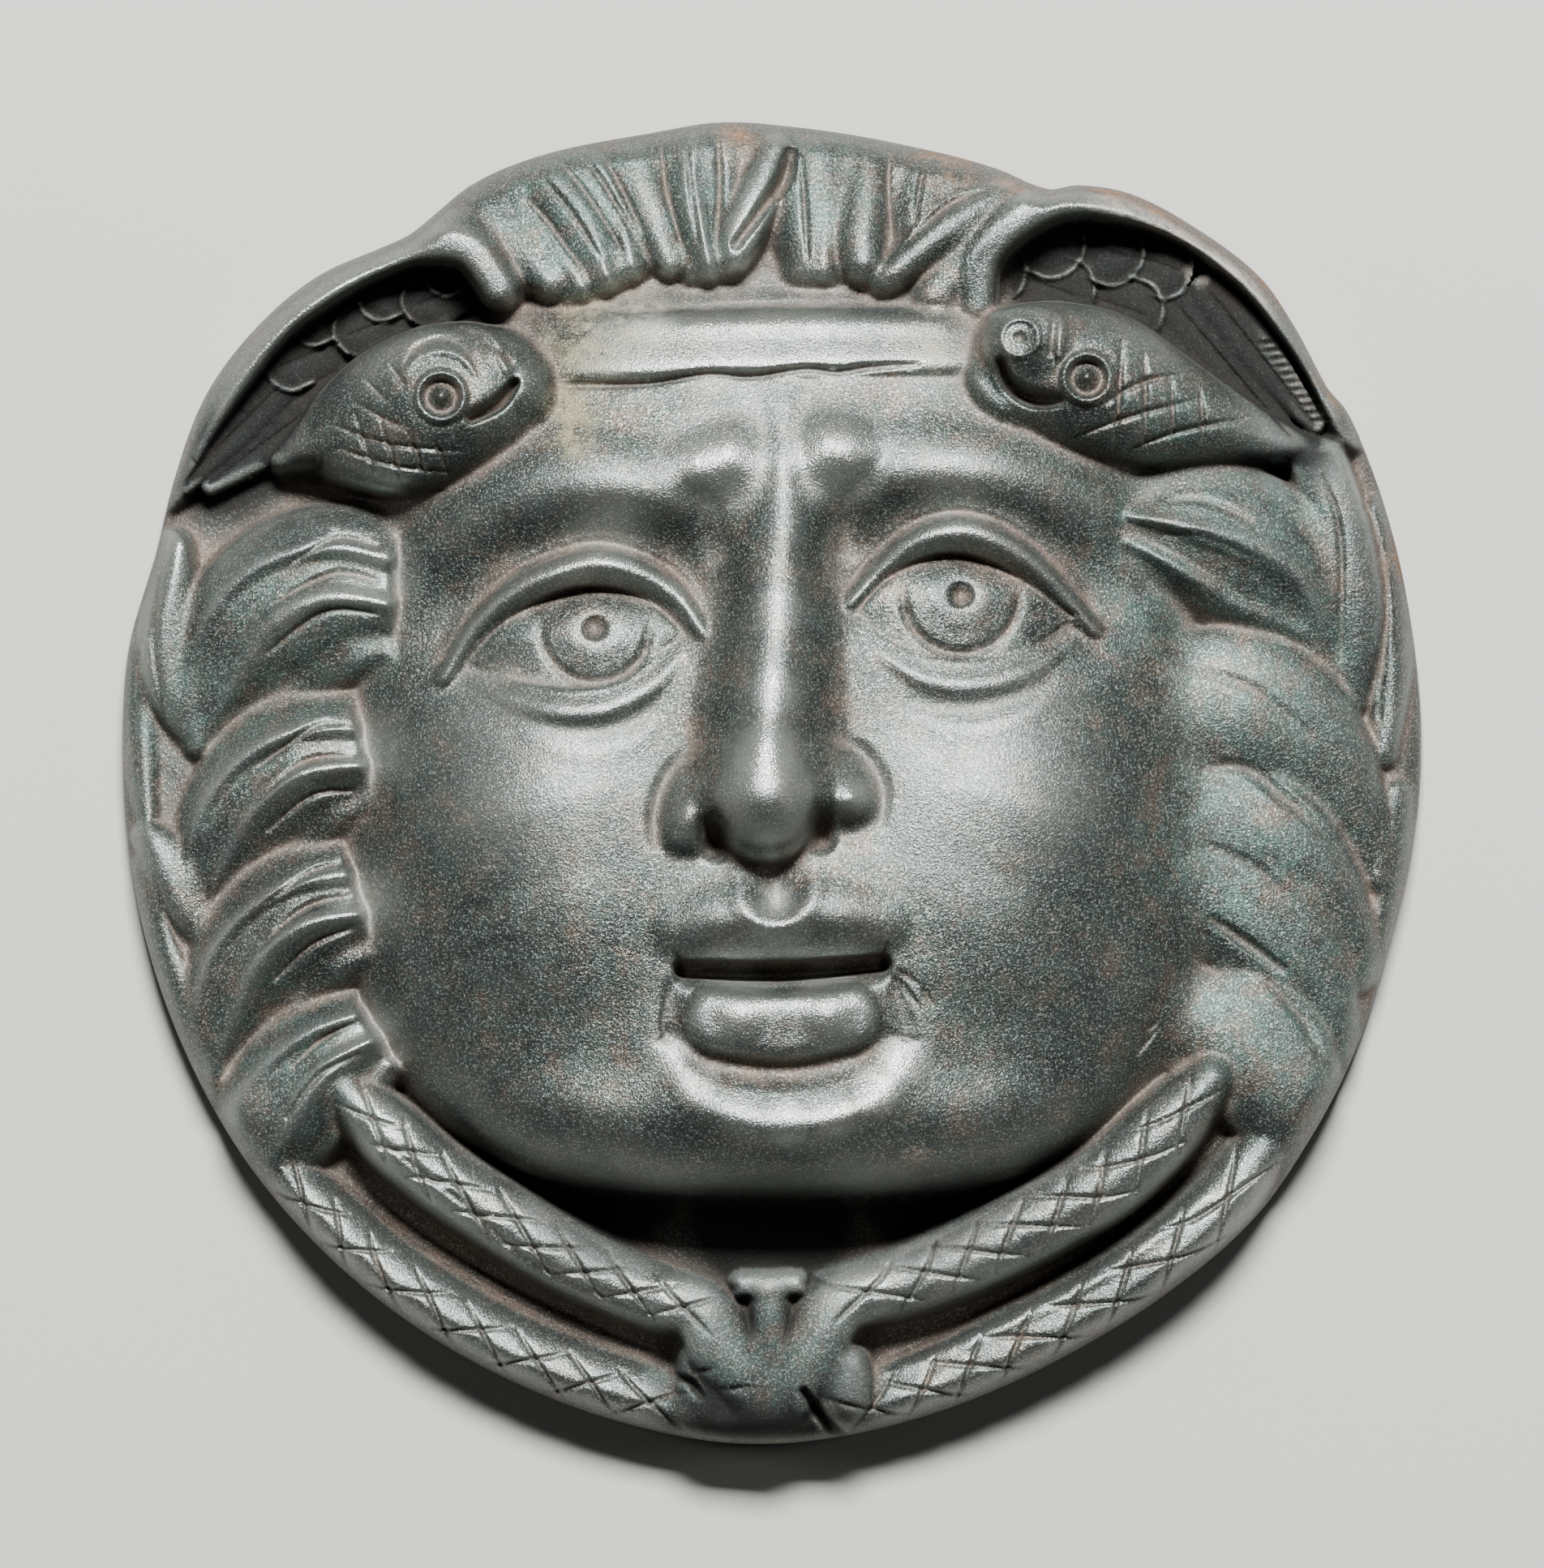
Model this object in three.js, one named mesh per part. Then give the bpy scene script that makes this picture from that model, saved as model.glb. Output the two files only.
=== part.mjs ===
// Gorgon mask: a cast bronze relief ornament, hollow behind, lying face up on its flat back rim.
// Millimetres. +Z points out of the face, +Y to the top of the head, the origin is under its middle.
import * as THREE from 'three';
import { mergeVertices } from 'three/addons/utils/BufferGeometryUtils.js';

// Driving dimensions in millimetres
const WIDTH = 90; // across the face, from hair to hair
const NOSE_HEIGHT = 27; // nose tip above the back rim
const EDGE_HEIGHT = 1.8; // upright edge all round the outline
const EDGE_ROUNDING = 2.2; // reach of the rounding inside that edge
const RIM_WIDTH = 5; // flat ring behind, which the mask lies on
const WALL = 3; // bronze left between the relief and the hollow behind it

// The carving is laid out in shares: hundredths of the half width across, and hundredths of
// NOSE_HEIGHT / 0.6 in height, so that the nose tip stands at 60.
const SHARE = WIDTH / 200;
const RISE = NOSE_HEIGHT / 60;

// How finely the relief is faceted
const LATTICE = 256; // lattice steps across the mask
const SMALLEST_CELL = 2; // lattice steps along the smallest facets
const LARGEST_CELL = 16; // and along the largest
const EDGE_CELL = 4; // and at the outline
const FACET_TOLERANCE = 7.2; // mean miss in shares, times lattice steps, that a facet is left at
const FEATURE_TOLERANCE = 3.1; // and over the eyes, the nose and the mouth
const FEATURES = { halfWidth: 52, foot: -46, top: 44 }; // shares, where those lie
const HOLLOW_SIDES = 48;
const HOLLOW_RINGS = [0.985, 0.95, 0.88, 0.78, 0.66, 0.52, 0.37, 0.2];

// Outline of the casting, anticlockwise from the right, with its nicks at the wing roots
const OUTLINE = [
  [100, 6], [98.8, 22], [96.2, 36], [92, 49.5], [88.4, 57.5], [85.3, 61.2], [80, 71], [75, 78],
  [65, 85.6], [55, 90.8], [47, 92.1], [42.5, 91.5], [35, 94.6], [20, 98.5], [5, 101], [-8, 101.9],
  [-20, 100], [-37, 96.3], [-46, 92.4], [-55, 85], [-60, 82.5], [-70, 78], [-79.5, 70], [-87, 60],
  [-92, 47], [-95, 35], [-99, 21], [-100, 8], [-99.3, -8], [-95, -29], [-90, -42], [-81, -58],
  [-70, -71], [-55, -83.5], [-40, -92], [-25, -97.8], [-5, -101.6], [12, -100.3], [25, -96.9],
  [45, -88.2], [60, -79], [75, -66], [82, -56], [89, -43], [95, -25], [98.8, -9],
];

// Midline of the face: height at each place from hair to under the chin
const FACE_PROFILE = [
  [84, 16], [77, 25], [67, 32.5], [56, 38], [47, 40.5], [34, 39.5], [20, 41], [0, 42.5],
  [-28, 42.5], [-42, 41], [-50, 42], [-56, 39.5], [-60.5, 33], [-63.5, 22], [-66, 11],
];
// Half width of the face at each place, down the same line
const FACE_HALF_WIDTH = [
  [84, 30], [77, 42], [62, 56], [45, 62], [25, 65], [5, 67.5], [-15, 68], [-30, 66],
  [-42, 61], [-52, 52], [-58, 43], [-62, 33], [-66, 18],
];
const FACE_MIDDLE = 1;
const FACE_EDGE = 12;
const FACE_FULLNESS = 2.6; // how flat the front of the face is across
const FACE_TURN = 0.6; // how sharply its sides turn back

// Small tools for curves and blends
const clamp = (value, low = 0, high = 1) => Math.min(Math.max(value, low), high);
const mix = (a, b, t) => a + (b - a) * t;

function softMax(a, b, blend) {
  const overlap = Math.max(blend - Math.abs(a - b), 0) / blend;
  return Math.max(a, b) + overlap * overlap * blend / 4;
}

function hermite(a, b, slopeA, slopeB, t) {
  const t2 = t * t;
  const t3 = t2 * t;
  return (2 * t3 - 3 * t2 + 1) * a + (t3 - 2 * t2 + t) * slopeA
    + (3 * t2 - 2 * t3) * b + (t3 - t2) * slopeB;
}

// A smooth curve through [place, value] rows sorted by place
function curveThrough(rows, place) {
  const last = rows.length - 1;
  let i = 0;
  while (i < last - 1 && place > rows[i + 1][0]) i += 1;
  const [x0, y0] = rows[i];
  const [x1, y1] = rows[i + 1];
  const before = rows[Math.max(i - 1, 0)];
  const after = rows[Math.min(i + 2, last)];
  const span = x1 - x0;
  const slopeA = (y1 - before[1]) / (x1 - before[0]) * span;
  const slopeB = (after[1] - y0) / (after[0] - x0) * span;
  return hermite(y0, y1, slopeA, slopeB, clamp((place - x0) / span));
}

const byPlace = (a, b) => a[0] - b[0];
const faceProfile = [...FACE_PROFILE].sort(byPlace);
const faceHalfWidth = [...FACE_HALF_WIDTH].sort(byPlace);

// The outline in polar form, repeated past both ends so that the curve closes smoothly
const FULL_TURN = 2 * Math.PI;
const outlineTurn = OUTLINE.map(([x, y]) => [Math.atan2(y, x), Math.hypot(x, y)]).sort(byPlace);
const outlineRows = [
  ...outlineTurn.slice(-2).map(([angle, radius]) => [angle - FULL_TURN, radius]),
  ...outlineTurn,
  ...outlineTurn.slice(0, 2).map(([angle, radius]) => [angle + FULL_TURN, radius]),
];
const outlineRadius = (angle) => curveThrough(outlineRows, angle);

// A stroke of the sculptor's tool: a line of [x, y, half width, height] points, smoothed
function smoothLine(points, steps = 8) {
  const last = points.length - 1;
  const line = [];
  for (let i = 0; i < last; i += 1) {
    const before = points[Math.max(i - 1, 0)];
    const after = points[Math.min(i + 2, last)];
    for (let k = 0; k < steps; k += 1) {
      line.push(points[i].map((value, n) => hermite(
        value,
        points[i + 1][n],
        (points[i + 1][n] - before[n]) / 2,
        (after[n] - value) / 2,
        k / steps,
      )));
    }
  }
  line.push(points[last]);
  return line;
}

function stroke(points) {
  const line = smoothLine(points);
  const reach = Math.max(...line.map((point) => point[2]));
  const xs = line.map((point) => point[0]);
  const ys = line.map((point) => point[1]);
  const box = [
    Math.min(...xs) - reach, Math.max(...xs) + reach, Math.min(...ys) - reach, Math.max(...ys) + reach,
  ];
  return { line, box };
}

// Where a place lies on a stroke: its share of the half width with the round ends, the signed share
// straight across, how far it is before the start, how far along, and the height there
function placeOn({ line, box }, x, y) {
  if (x < box[0] || x > box[1] || y < box[2] || y > box[3]) return null;
  let found = null;
  let nearest = 1;
  const segments = Math.max(line.length - 1, 1);
  for (let i = 0; i < segments; i += 1) {
    const a = line[i];
    const b = line[Math.min(i + 1, line.length - 1)];
    const dx = b[0] - a[0];
    const dy = b[1] - a[1];
    const length = Math.hypot(dx, dy) || 1;
    const along = ((x - a[0]) * dx + (y - a[1]) * dy) / length;
    const t = clamp(along / length);
    const halfWidth = mix(a[2], b[2], t);
    const away = Math.hypot(x - a[0] - dx * t, y - a[1] - dy * t) / halfWidth;
    if (away < nearest) {
      nearest = away;
      const side = (dx * (y - a[1]) - dy * (x - a[0])) / length / halfWidth;
      const before = i === 0 ? Math.max(-along, 0) : 0;
      found = {
        away,
        across: before > 0 ? side : Math.sign(side) * away,
        before,
        along: (i + t) / segments,
        height: mix(a[3], b[3], t),
      };
    }
  }
  return found;
}

// Cross sections, from 1 in the middle of a stroke to 0 at its edge
const round = (q) => Math.sqrt(1 - q * q);
const soft = (q) => (1 - q * q) ** 2;
const blunt = (q) => 1 - q ** 6;
const leaf = (q) => 1 - q ** 4;

// Forms are worked into the surface one after another, each a function of the place and the
// height so far. A swelling or a cut adds to what is there.
function swell(points, section = soft) {
  const path = stroke(points);
  return (x, y, z) => {
    const at = placeOn(path, x, y);
    return at ? z + at.height * section(at.away) : z;
  };
}

// A roll is laid on top of what is there: its crown stands at the given heights, and it falls
// away to its sides.
function roll(points, fall, blend = 1.2, section = round) {
  const path = stroke(points);
  return (x, y, z) => {
    const at = placeOn(path, x, y);
    return at ? softMax(z, at.height - fall * (1 - section(at.away)), blend) : z;
  };
}

// A lock of hair is a broad roll that starts square at the face and is combed into strands, which
// wander a little and fade along it
const LOCK_TURN = 0.7; // how sharply its sides turn down
const STRAND_WAVE = 5;
const STRAND_SLANT = 3;
const FINER_STRANDS = { share: 0.3, pitch: 2.3 };

function lock(points, { strands, depth, fall, blend = 1, wander = 0, combed = 1.6, end = 1.6 }) {
  const path = stroke(points);
  return (x, y, z) => {
    const at = placeOn(path, x, y);
    if (!at || at.before > end) return z;
    const away = at.before > 0 ? Math.abs(at.across) : at.away;
    const dome = Math.max(1 - away * away, 0) ** LOCK_TURN;
    const wave = wander * Math.sin(STRAND_WAVE * at.along + STRAND_SLANT * at.across);
    const phase = (at.across + 1) * Math.PI * strands + wave;
    const ridges = Math.cos(phase) + FINER_STRANDS.share * Math.cos(FINER_STRANDS.pitch * phase + 1);
    const comb = ridges * dome * clamp(combed * (1 - at.along));
    const drop = fall * (1 - round(at.before / end));
    return softMax(z, at.height - fall * (1 - dome) - depth * comb - drop, blend);
  };
}

// How far a place is inside a closed line of corners, less than nothing outside it
function depthInside(corners, x, y) {
  let inside = false;
  let nearest = Infinity;
  corners.forEach(([x0, y0], k) => {
    const [x1, y1] = corners[(k + 1) % corners.length];
    const [dx, dy] = [x1 - x0, y1 - y0];
    if ((y0 > y) !== (y1 > y) && x < x0 + (y - y0) * dx / dy) inside = !inside;
    const t = clamp(((x - x0) * dx + (y - y0) * dy) / (dx * dx + dy * dy));
    nearest = Math.min(nearest, Math.hypot(x - x0 - dx * t, y - y0 - dy * t));
  });
  return inside ? nearest : -nearest;
}

// A bowl cuts down to its floor inside a closed line
const BOWL_EDGE = 3; // shares across its side

function bowl(corners, floor) {
  return (x, y, z) => {
    if (z <= floor) return z;
    return mix(z, floor, clamp(0.5 + depthInside(corners, x, y) / BOWL_EDGE));
  };
}

// Forms worked only where the relief is still low, so that they run in under its higher parts
const under = (top, list) => (x, y, z) => (
  z > top ? z : list.reduce((height, form) => form(x, y, height), z)
);

// A stroke through [x, y] places that thins out to both its ends
const THIN_END = 0.35;
const THINNING = 0.6;

function tapered(places, halfWidth, height, lift = 0) {
  const last = places.length - 1;
  return places.map(([x, y], i) => {
    const fade = mix(THIN_END, 1, Math.sin(Math.PI * i / last) ** THINNING);
    return [x, y + lift, halfWidth * fade, height * fade];
  });
}

// A chisel line through [x, y] places, fading at both ends
const FADED_END = 0.4;

function trail(places, halfWidth, depth) {
  const last = places.length - 1;
  return swell(places.map(([x, y], i) => {
    const fade = i === 0 || i === last ? FADED_END : 1;
    return [x, y, halfWidth * mix(1, fade, 0.5), depth * fade];
  }));
}

function ringOf(x, y, radius, halfWidth, height) {
  const corners = 12;
  return Array.from({ length: corners + 1 }, (_, i) => {
    const angle = i / corners * FULL_TURN;
    return [x + radius * Math.cos(angle), y + radius * Math.sin(angle), halfWidth, height];
  });
}

// Face: broad forms
function faceForms() {
  return [
    // Cheeks
    swell([[-36, -4, 25, 3.8], [-33, -14, 24, 2.4]]),
    swell([[38, -4, 25, 3.8], [35, -14, 24, 2.4]]),
    // Eye sockets
    swell([[-46, 24, 16, -3], [-30, 27, 19, -4.2], [-16, 30, 13, -5]]),
    swell([[14, 34, 12, -5], [29, 31, 19, -4.2], [46, 29, 15, -3]]),
    // Brows
    swell([[-54, 33, 10, 0.8], [-42, 41, 11, 2], [-29, 45.5, 10, 3], [-18, 45, 9, 2.4], [-10, 46, 8, 0.4]]),
    swell([[13, 48, 8, 0.4], [23, 48, 9, 2.2], [34, 46.5, 10, 2.8], [46, 42.5, 11, 1.8], [54, 37, 9, 0.8]]),
    // Frown: two knots and the thin fold between them
    swell([[-10, 48.4, 7.6, 2], [-6.4, 49.6, 7.4, 2.2]]),
    swell([[8.8, 51, 7.4, 2.4], [10.8, 51, 7.4, 2.2]]),
    swell([[1.4, 62, 4, 0.2], [1.6, 50, 3.2, 1.2], [1.8, 38, 4.4, 0.8]]),
    swell([[10.6, 36, 3.4, -1], [12.4, 43, 3.4, -1.4], [17, 49.5, 2.4, -0.3]]),
    swell([[-8, 35, 3.4, -1], [-10.4, 41, 3.6, -1.3], [-14, 46, 2.4, -0.3]]),
  ];
}

// An eye is set by its opening, between the edges of its two lids, and the middle of its iris
const LEFT_EYE = {
  crease: [[-50, 19], [-45, 27], [-38, 32.8], [-30, 35.8], [-25, 36.2], [-19, 34.4], [-14, 31],
    [-10.6, 26]],
  upper: [[-47, 18.4], [-40, 25.4], [-33, 29.4], [-26, 30.4], [-19, 28.4], [-13.4, 23]],
  lower: [[-47, 18.4], [-40, 15.6], [-33, 14.2], [-27, 14.2], [-21, 16.2], [-13.4, 23]],
  lidRidge: [[-46, 15.6], [-38, 12.4], [-30, 11], [-24, 11.8], [-18, 15], [-13.6, 20]],
  bag: [[-37, 9], [-28, 7.8], [-21, 9.6], [-16.4, 13.6]],
  iris: [-26.8, 23.6],
  irisRadius: 8.2,
  ball: [-29.5, 21],
  cornerHeights: [30.6, 37.8],
};

const RIGHT_EYE = {
  crease: [[12, 30.6], [17, 36], [22, 39.6], [28, 41], [34, 39.6], [40, 36], [44, 32], [49, 26.4]],
  upper: [[12.6, 26], [17, 31], [22, 34.4], [28, 35.4], [34, 33.8], [40, 30], [47, 25.6]],
  lower: [[12.6, 26], [17, 21.8], [22, 19.2], [28, 18.2], [34, 18.7], [40, 21.2], [47, 25.6]],
  lidRidge: [[15.6, 20.4], [22, 16.2], [28, 15], [34, 15.6], [40, 17.8], [46, 21.6]],
  bag: [[20, 12.8], [29, 11.2], [38, 13.2], [43, 16.4]],
  iris: [28.6, 28.6],
  irisRadius: 8.8,
  ball: [29.5, 27],
  cornerHeights: [37.8, 30.8],
};

function lidForms({ ball, crease, lidRidge, bag }) {
  return [
    swell([[...ball, 17, 3.4]]),
    swell(tapered(crease, 4.6, 6.4, -3)),
    swell(tapered(lidRidge, 2.6, 1.2)),
    swell(tapered(bag, 2.4, -0.5)),
    swell(tapered(bag, 3, 0.4, -3)),
  ];
}

// The ball of the eye bulges between its corners and drops into the shade of the upper lid. A
// groove runs round the lower half of its iris.
const EYE_BULGE = 4.6;
const EYE_HALF_WIDTH = 17.5;
const SHADE_DROP = 6.5;
const SHADE_REACH = 9;
const IRIS_GROOVE = { halfWidth: 1.1, depth: 1.1, blend: 5, above: 2 };
const IRIS_RISE = 0.6;
const LID_EDGE = { upper: 1, lower: 0.8 };

function ballHeight({ upper, iris, irisRadius, ball, cornerHeights }, x, y) {
  const [left, right] = [upper[0][0], upper.at(-1)[0]];
  const between = mix(cornerHeights[0], cornerHeights[1], clamp((x - left) / (right - left)));
  const bulge = EYE_BULGE * (1 - ((x - ball[0]) / EYE_HALF_WIDTH) ** 2);
  const shade = Math.max((y - ball[1]) / SHADE_REACH, 0) ** 2 * SHADE_DROP;
  const fromIris = Math.hypot(x - iris[0], y - iris[1]);
  const groove = clamp(1 - Math.abs(fromIris - irisRadius) / IRIS_GROOVE.halfWidth);
  const lowerHalf = clamp((iris[1] + IRIS_GROOVE.above - y) / IRIS_GROOVE.blend);
  const rise = IRIS_RISE * clamp(1 - fromIris / irisRadius);
  return between + bulge - shade - IRIS_GROOVE.depth * groove * lowerHalf + rise;
}

function openEye(eye) {
  return (x, y, z) => {
    if (x < eye.upper[0][0] || x > eye.upper.at(-1)[0]) return z;
    const above = (curveThrough(eye.upper, x) - y) / LID_EDGE.upper;
    const below = (y - curveThrough(eye.lower, x)) / LID_EDGE.lower;
    const inside = clamp(Math.min(above, below));
    return mix(z, ballHeight(eye, x, y), inside * inside * (3 - 2 * inside));
  };
}

function eyeChisel(eye) {
  return [
    openEye(eye),
    trail(eye.crease, 1.3, -1.6),
    swell(ringOf(...eye.iris, 4, 1.6, 0.4)),
    swell([[...eye.iris, 2.5, -2.6]]),
  ];
}

function noseForms() {
  return [
    swell([[1.8, 46, 8, 1.4], [1.4, 36, 9, 4.8], [0.6, 22, 10.8, 9.6], [-0.4, 10, 12.4, 13],
      [-1, 1, 11.6, 14]]),
    // Wings of the nose, joined to its ball, and the bridge between the nostrils
    swell([[-9.4, 2.4, 5.6, 2.8], [-12, -4, 5.6, 5.6], [-13, -7.4, 4.4, 4.6]]),
    swell([[8.4, 2.4, 5.6, 2.8], [11.2, -2, 5.6, 6.6]]),
    swell([[-7, -3, 5, 4], [5.4, -2, 5, 4]]),
    roll([[-0.8, -4.6, 7.4, 53]], 8, 5),
    roll([[-0.9, 4, 5.4, 58.6], [-1, -1.6, 7.6, 60]], 9, 6),
    swell([[-11.4, 5.6, 1.6, -0.6], [-15.6, 1.4, 1.8, -1.2], [-17.6, -4.4, 1.8, -1.2],
      [-17.6, -9, 1.4, -0.6]]),
    swell([[9.6, 6.6, 1.6, -0.6], [14, 4.4, 1.8, -1.2], [16.6, -0.6, 1.8, -1.2], [16.4, -6, 1.4, -0.6]]),
    // Nostrils
    swell([[-9.6, -6, 1.8, -1.6], [-8.4, -9.4, 2.8, -5]]),
    swell([[7.8, -5, 1.8, -1.6], [7.4, -8.2, 2.8, -5]]),
  ];
}

function upperLipForms() {
  return [
    // The mouth stands forward of the cheeks, and its upper lip turns down from the crest
    swell([[-7, -19, 13, 1.8], [9, -18, 13, 1.8]]),
    swell([[-14, -21.8, 5.4, 1.4], [-6, -20.2, 6.8, 3], [0.8, -21.4, 6.6, 2.7], [8, -19.6, 6.8, 3],
      [16.8, -20.8, 5.4, 1.4]]),
    swell([[-13, -27.4, 3, -0.5], [1, -27.8, 3.2, -0.8], [16, -26.6, 3, -0.5]]),
    // Groove under the nose inside its rim
    swell([[0.9, -13.6, 3.8, -1.4], [0.8, -17.6, 3.8, -1.8]]),
    swell([[-4.9, -13, 2, 0.5], [-4.7, -17.6, 2, 0.9], [-2.6, -20.6, 2, 1], [0.8, -21.4, 2, 1],
      [4.2, -20.2, 2, 1], [6.2, -17, 2, 0.9], [6.6, -12.8, 2, 0.5]]),
  ];
}

function lowerLipForms() {
  return [
    // Lower lip in its hollow, and the groove under it
    swell([[-15, -30.6, 2, -0.9], [-15.8, -38, 2, -0.7]]),
    swell([[18.6, -30, 2, -0.9], [20.4, -37.4, 2, -0.7]]),
    swell([[-8.4, -35.8, 5.4, 4.4], [1.4, -36.6, 5.8, 4.8], [11.6, -35.4, 5.4, 4.4]]),
    swell([[-5, -35.4, 5, 1.2]]),
    swell([[8.4, -35, 5, 1.2]]),
    swell([[-14.6, -38.6, 2.4, -0.6], [-8.5, -42.2, 3, -1.4], [1, -43.8, 3.2, -1.9], [10, -42.4, 3, -1.4],
      [18, -38.4, 2.2, -0.6]]),
    // Hollow and crest of the chin
    swell([[-17, -41, 10, 0.6], [-7, -47.4, 11, 2], [3, -49, 11.5, 2.4], [13, -47.4, 11, 2],
      [22, -40.6, 10, 0.6]]),
    swell([[-9, -44.6, 6, -0.7], [2, -46.4, 6, -1], [13, -44.2, 6, -0.7]]),
    swell([[-16, -41.6, 4, 0.5], [-8.4, -49, 4.6, 1], [2, -52.2, 4.8, 1.3], [12.8, -49.2, 4.6, 1],
      [20.4, -42.8, 4, 0.5]]),
    swell([[2.2, -46.8, 5, 0.5]]),
  ];
}

// Open mouth, square at its corners
function mouthChisel() {
  return [
    swell([[-13.4, -28, 1.7, -5], [1, -28.2, 1.8, -6.5], [16.4, -27.2, 1.7, -5]], blunt),
    swell([[-13, -29.2, 2.4, -2], [1, -29.8, 2.8, -3.2], [16, -28.4, 2.4, -2]]),
  ];
}

// Band across the forehead, with the cut line along its lower edge
function filletForms() {
  return [
    swell([[-40, 67, 5.6, 0.8], [-20, 66.6, 5.6, 2.6], [0, 67.3, 5.6, 2.8], [27, 67.6, 5.6, 2.2]], blunt),
    swell([[-20, 69.4, 2.6, 0.3], [0, 70, 2.6, 0.8], [26, 70, 2.6, 0.5]]),
    swell([[-24, 75, 4, -1.4], [0, 75.6, 4, -1.6], [22, 74, 4, -1.2]]),
    trail([[-31, 60.4], [-20, 60.8], [-10, 62.2], [5, 62.9], [22, 63.6]], 0.9, -1.6),
  ];
}

// Hair
const TUFT = { fall: 6, blend: 2.4, wander: 0.8, combed: 3, end: 3 };

function topHairForms() {
  return [
    // The mass of hair over the forehead, then its tufts from their square ends upwards
    roll([[-46, 84, 9, 22], [-28, 89, 12, 24], [0, 91, 13, 24], [22, 89, 12, 24], [38, 84, 9, 25]], 9, 3),
    roll([[-33.6, 76.6, 3, 29], [-39, 82, 4.4, 27], [-45, 88, 4.4, 24], [-49, 93, 3, 19]], 5, 2),
    lock([[-25.4, 77.6, 8.4, 30], [-28.6, 84.6, 10, 28.5], [-33, 91.6, 10, 26], [-37, 99, 8, 21]],
      { ...TUFT, strands: 3, depth: 0.9 }),
    roll([[-15.6, 79.4, 2.4, 29], [-17.6, 85, 3.4, 28.5], [-20.4, 92, 3.6, 26], [-22.6, 101, 3, 21]], 4, 2),
    lock([[-9, 79.6, 5.4, 31], [-10.6, 86, 7, 29.5], [-11, 93, 7, 26.5], [-9.6, 103, 6, 21]],
      { ...TUFT, strands: 2.5, depth: 0.9 }),
    roll([[-5.4, 80.6, 2.6, 32], [-4.6, 83.6, 3.4, 32], [-2.4, 89, 3.2, 30], [0.6, 97, 2.6, 25]], 4, 1.6),
    lock([[7, 78.6, 5.6, 29], [6.4, 86, 6.6, 28], [6.6, 93, 6.4, 26], [7.6, 102, 5, 21]],
      { ...TUFT, strands: 1.5, depth: 0.4 }),
    roll([[13.8, 79.6, 3.4, 32], [13.6, 84, 3.8, 30.5], [14.4, 91, 3.8, 27], [15.4, 100, 3, 21]], 5, 1.6),
    lock([[21, 81, 5, 28], [23.4, 88, 6.6, 27], [27.6, 98, 6, 21]], { ...TUFT, strands: 2.5, depth: 0.5 }),
    roll([[16.4, 76.4, 2, 31], [19, 78.2, 2.6, 32], [26, 84, 3.4, 31.5], [34, 88.6, 3.4, 28],
      [41, 90.6, 2.4, 22]], 5, 1.6),
    roll([[25, 74.4, 4, 30], [31, 81.4, 5.4, 30]], 5, 2),
    // Parting, with its punched hole
    swell([[2.8, 96, 1.6, -2.4], [1.8, 92.4, 1.8, -5], [-1.4, 87.6, 1.5, -3.6], [-5.4, 82, 1.2, -2]]),
  ];
}

const COMBED = { strands: 2.6, depth: 1.2, fall: 9.5, blend: 3, wander: 0.9 };

function leftHairForms() {
  return [
    // Outer leaves of hair along the rim
    roll([[-97, 22, 2.6, 12], [-97.6, 8, 3.4, 12], [-96, -5, 2, 12]], 3, 2),
    roll([[-92, 36, 3.4, 17], [-92.6, 27, 5, 17.5], [-91.5, 16, 5, 16.5], [-88, 6, 2.4, 14]], 5, 2),
    roll([[-96, -8, 2.8, 14], [-92.8, -12, 4.4, 15.5], [-89.6, -19, 3.8, 15.5], [-86.4, -25, 2, 14]], 5, 2),
    roll([[-97, -13, 2.6, 12.5], [-95, -23, 4.4, 13.5], [-91.6, -33, 4.8, 14],
      [-86, -46, 3.6, 13.5]], 4, 2),
    // Four locks from the temple to the jaw, each over the next one down
    lock([[-61.6, -38.6, 8, 25], [-68, -43, 10.4, 25], [-75, -50.6, 10.2, 21.5],
      [-79.4, -58, 7, 16.5]], COMBED),
    lock([[-63.6, -18.8, 11.6, 26], [-72, -21.6, 11.8, 25.5], [-79.4, -28, 10.2, 21.5], [-84, -37, 6.6, 17],
      [-86, -44, 3, 14]], COMBED),
    lock([[-63, 3.8, 10.8, 26], [-72, 1.6, 12.2, 25.5], [-80, -4.6, 10.4, 21.5], [-86, -14, 6.2, 17],
      [-87, -21, 3, 14]], COMBED),
    lock([[-58.6, 28.6, 12.6, 27.5], [-68, 28.6, 14.4, 27], [-77, 24.4, 13, 24], [-84, 15.4, 8.6, 19],
      [-88, 6, 3.4, 14]], COMBED),
  ];
}

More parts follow.
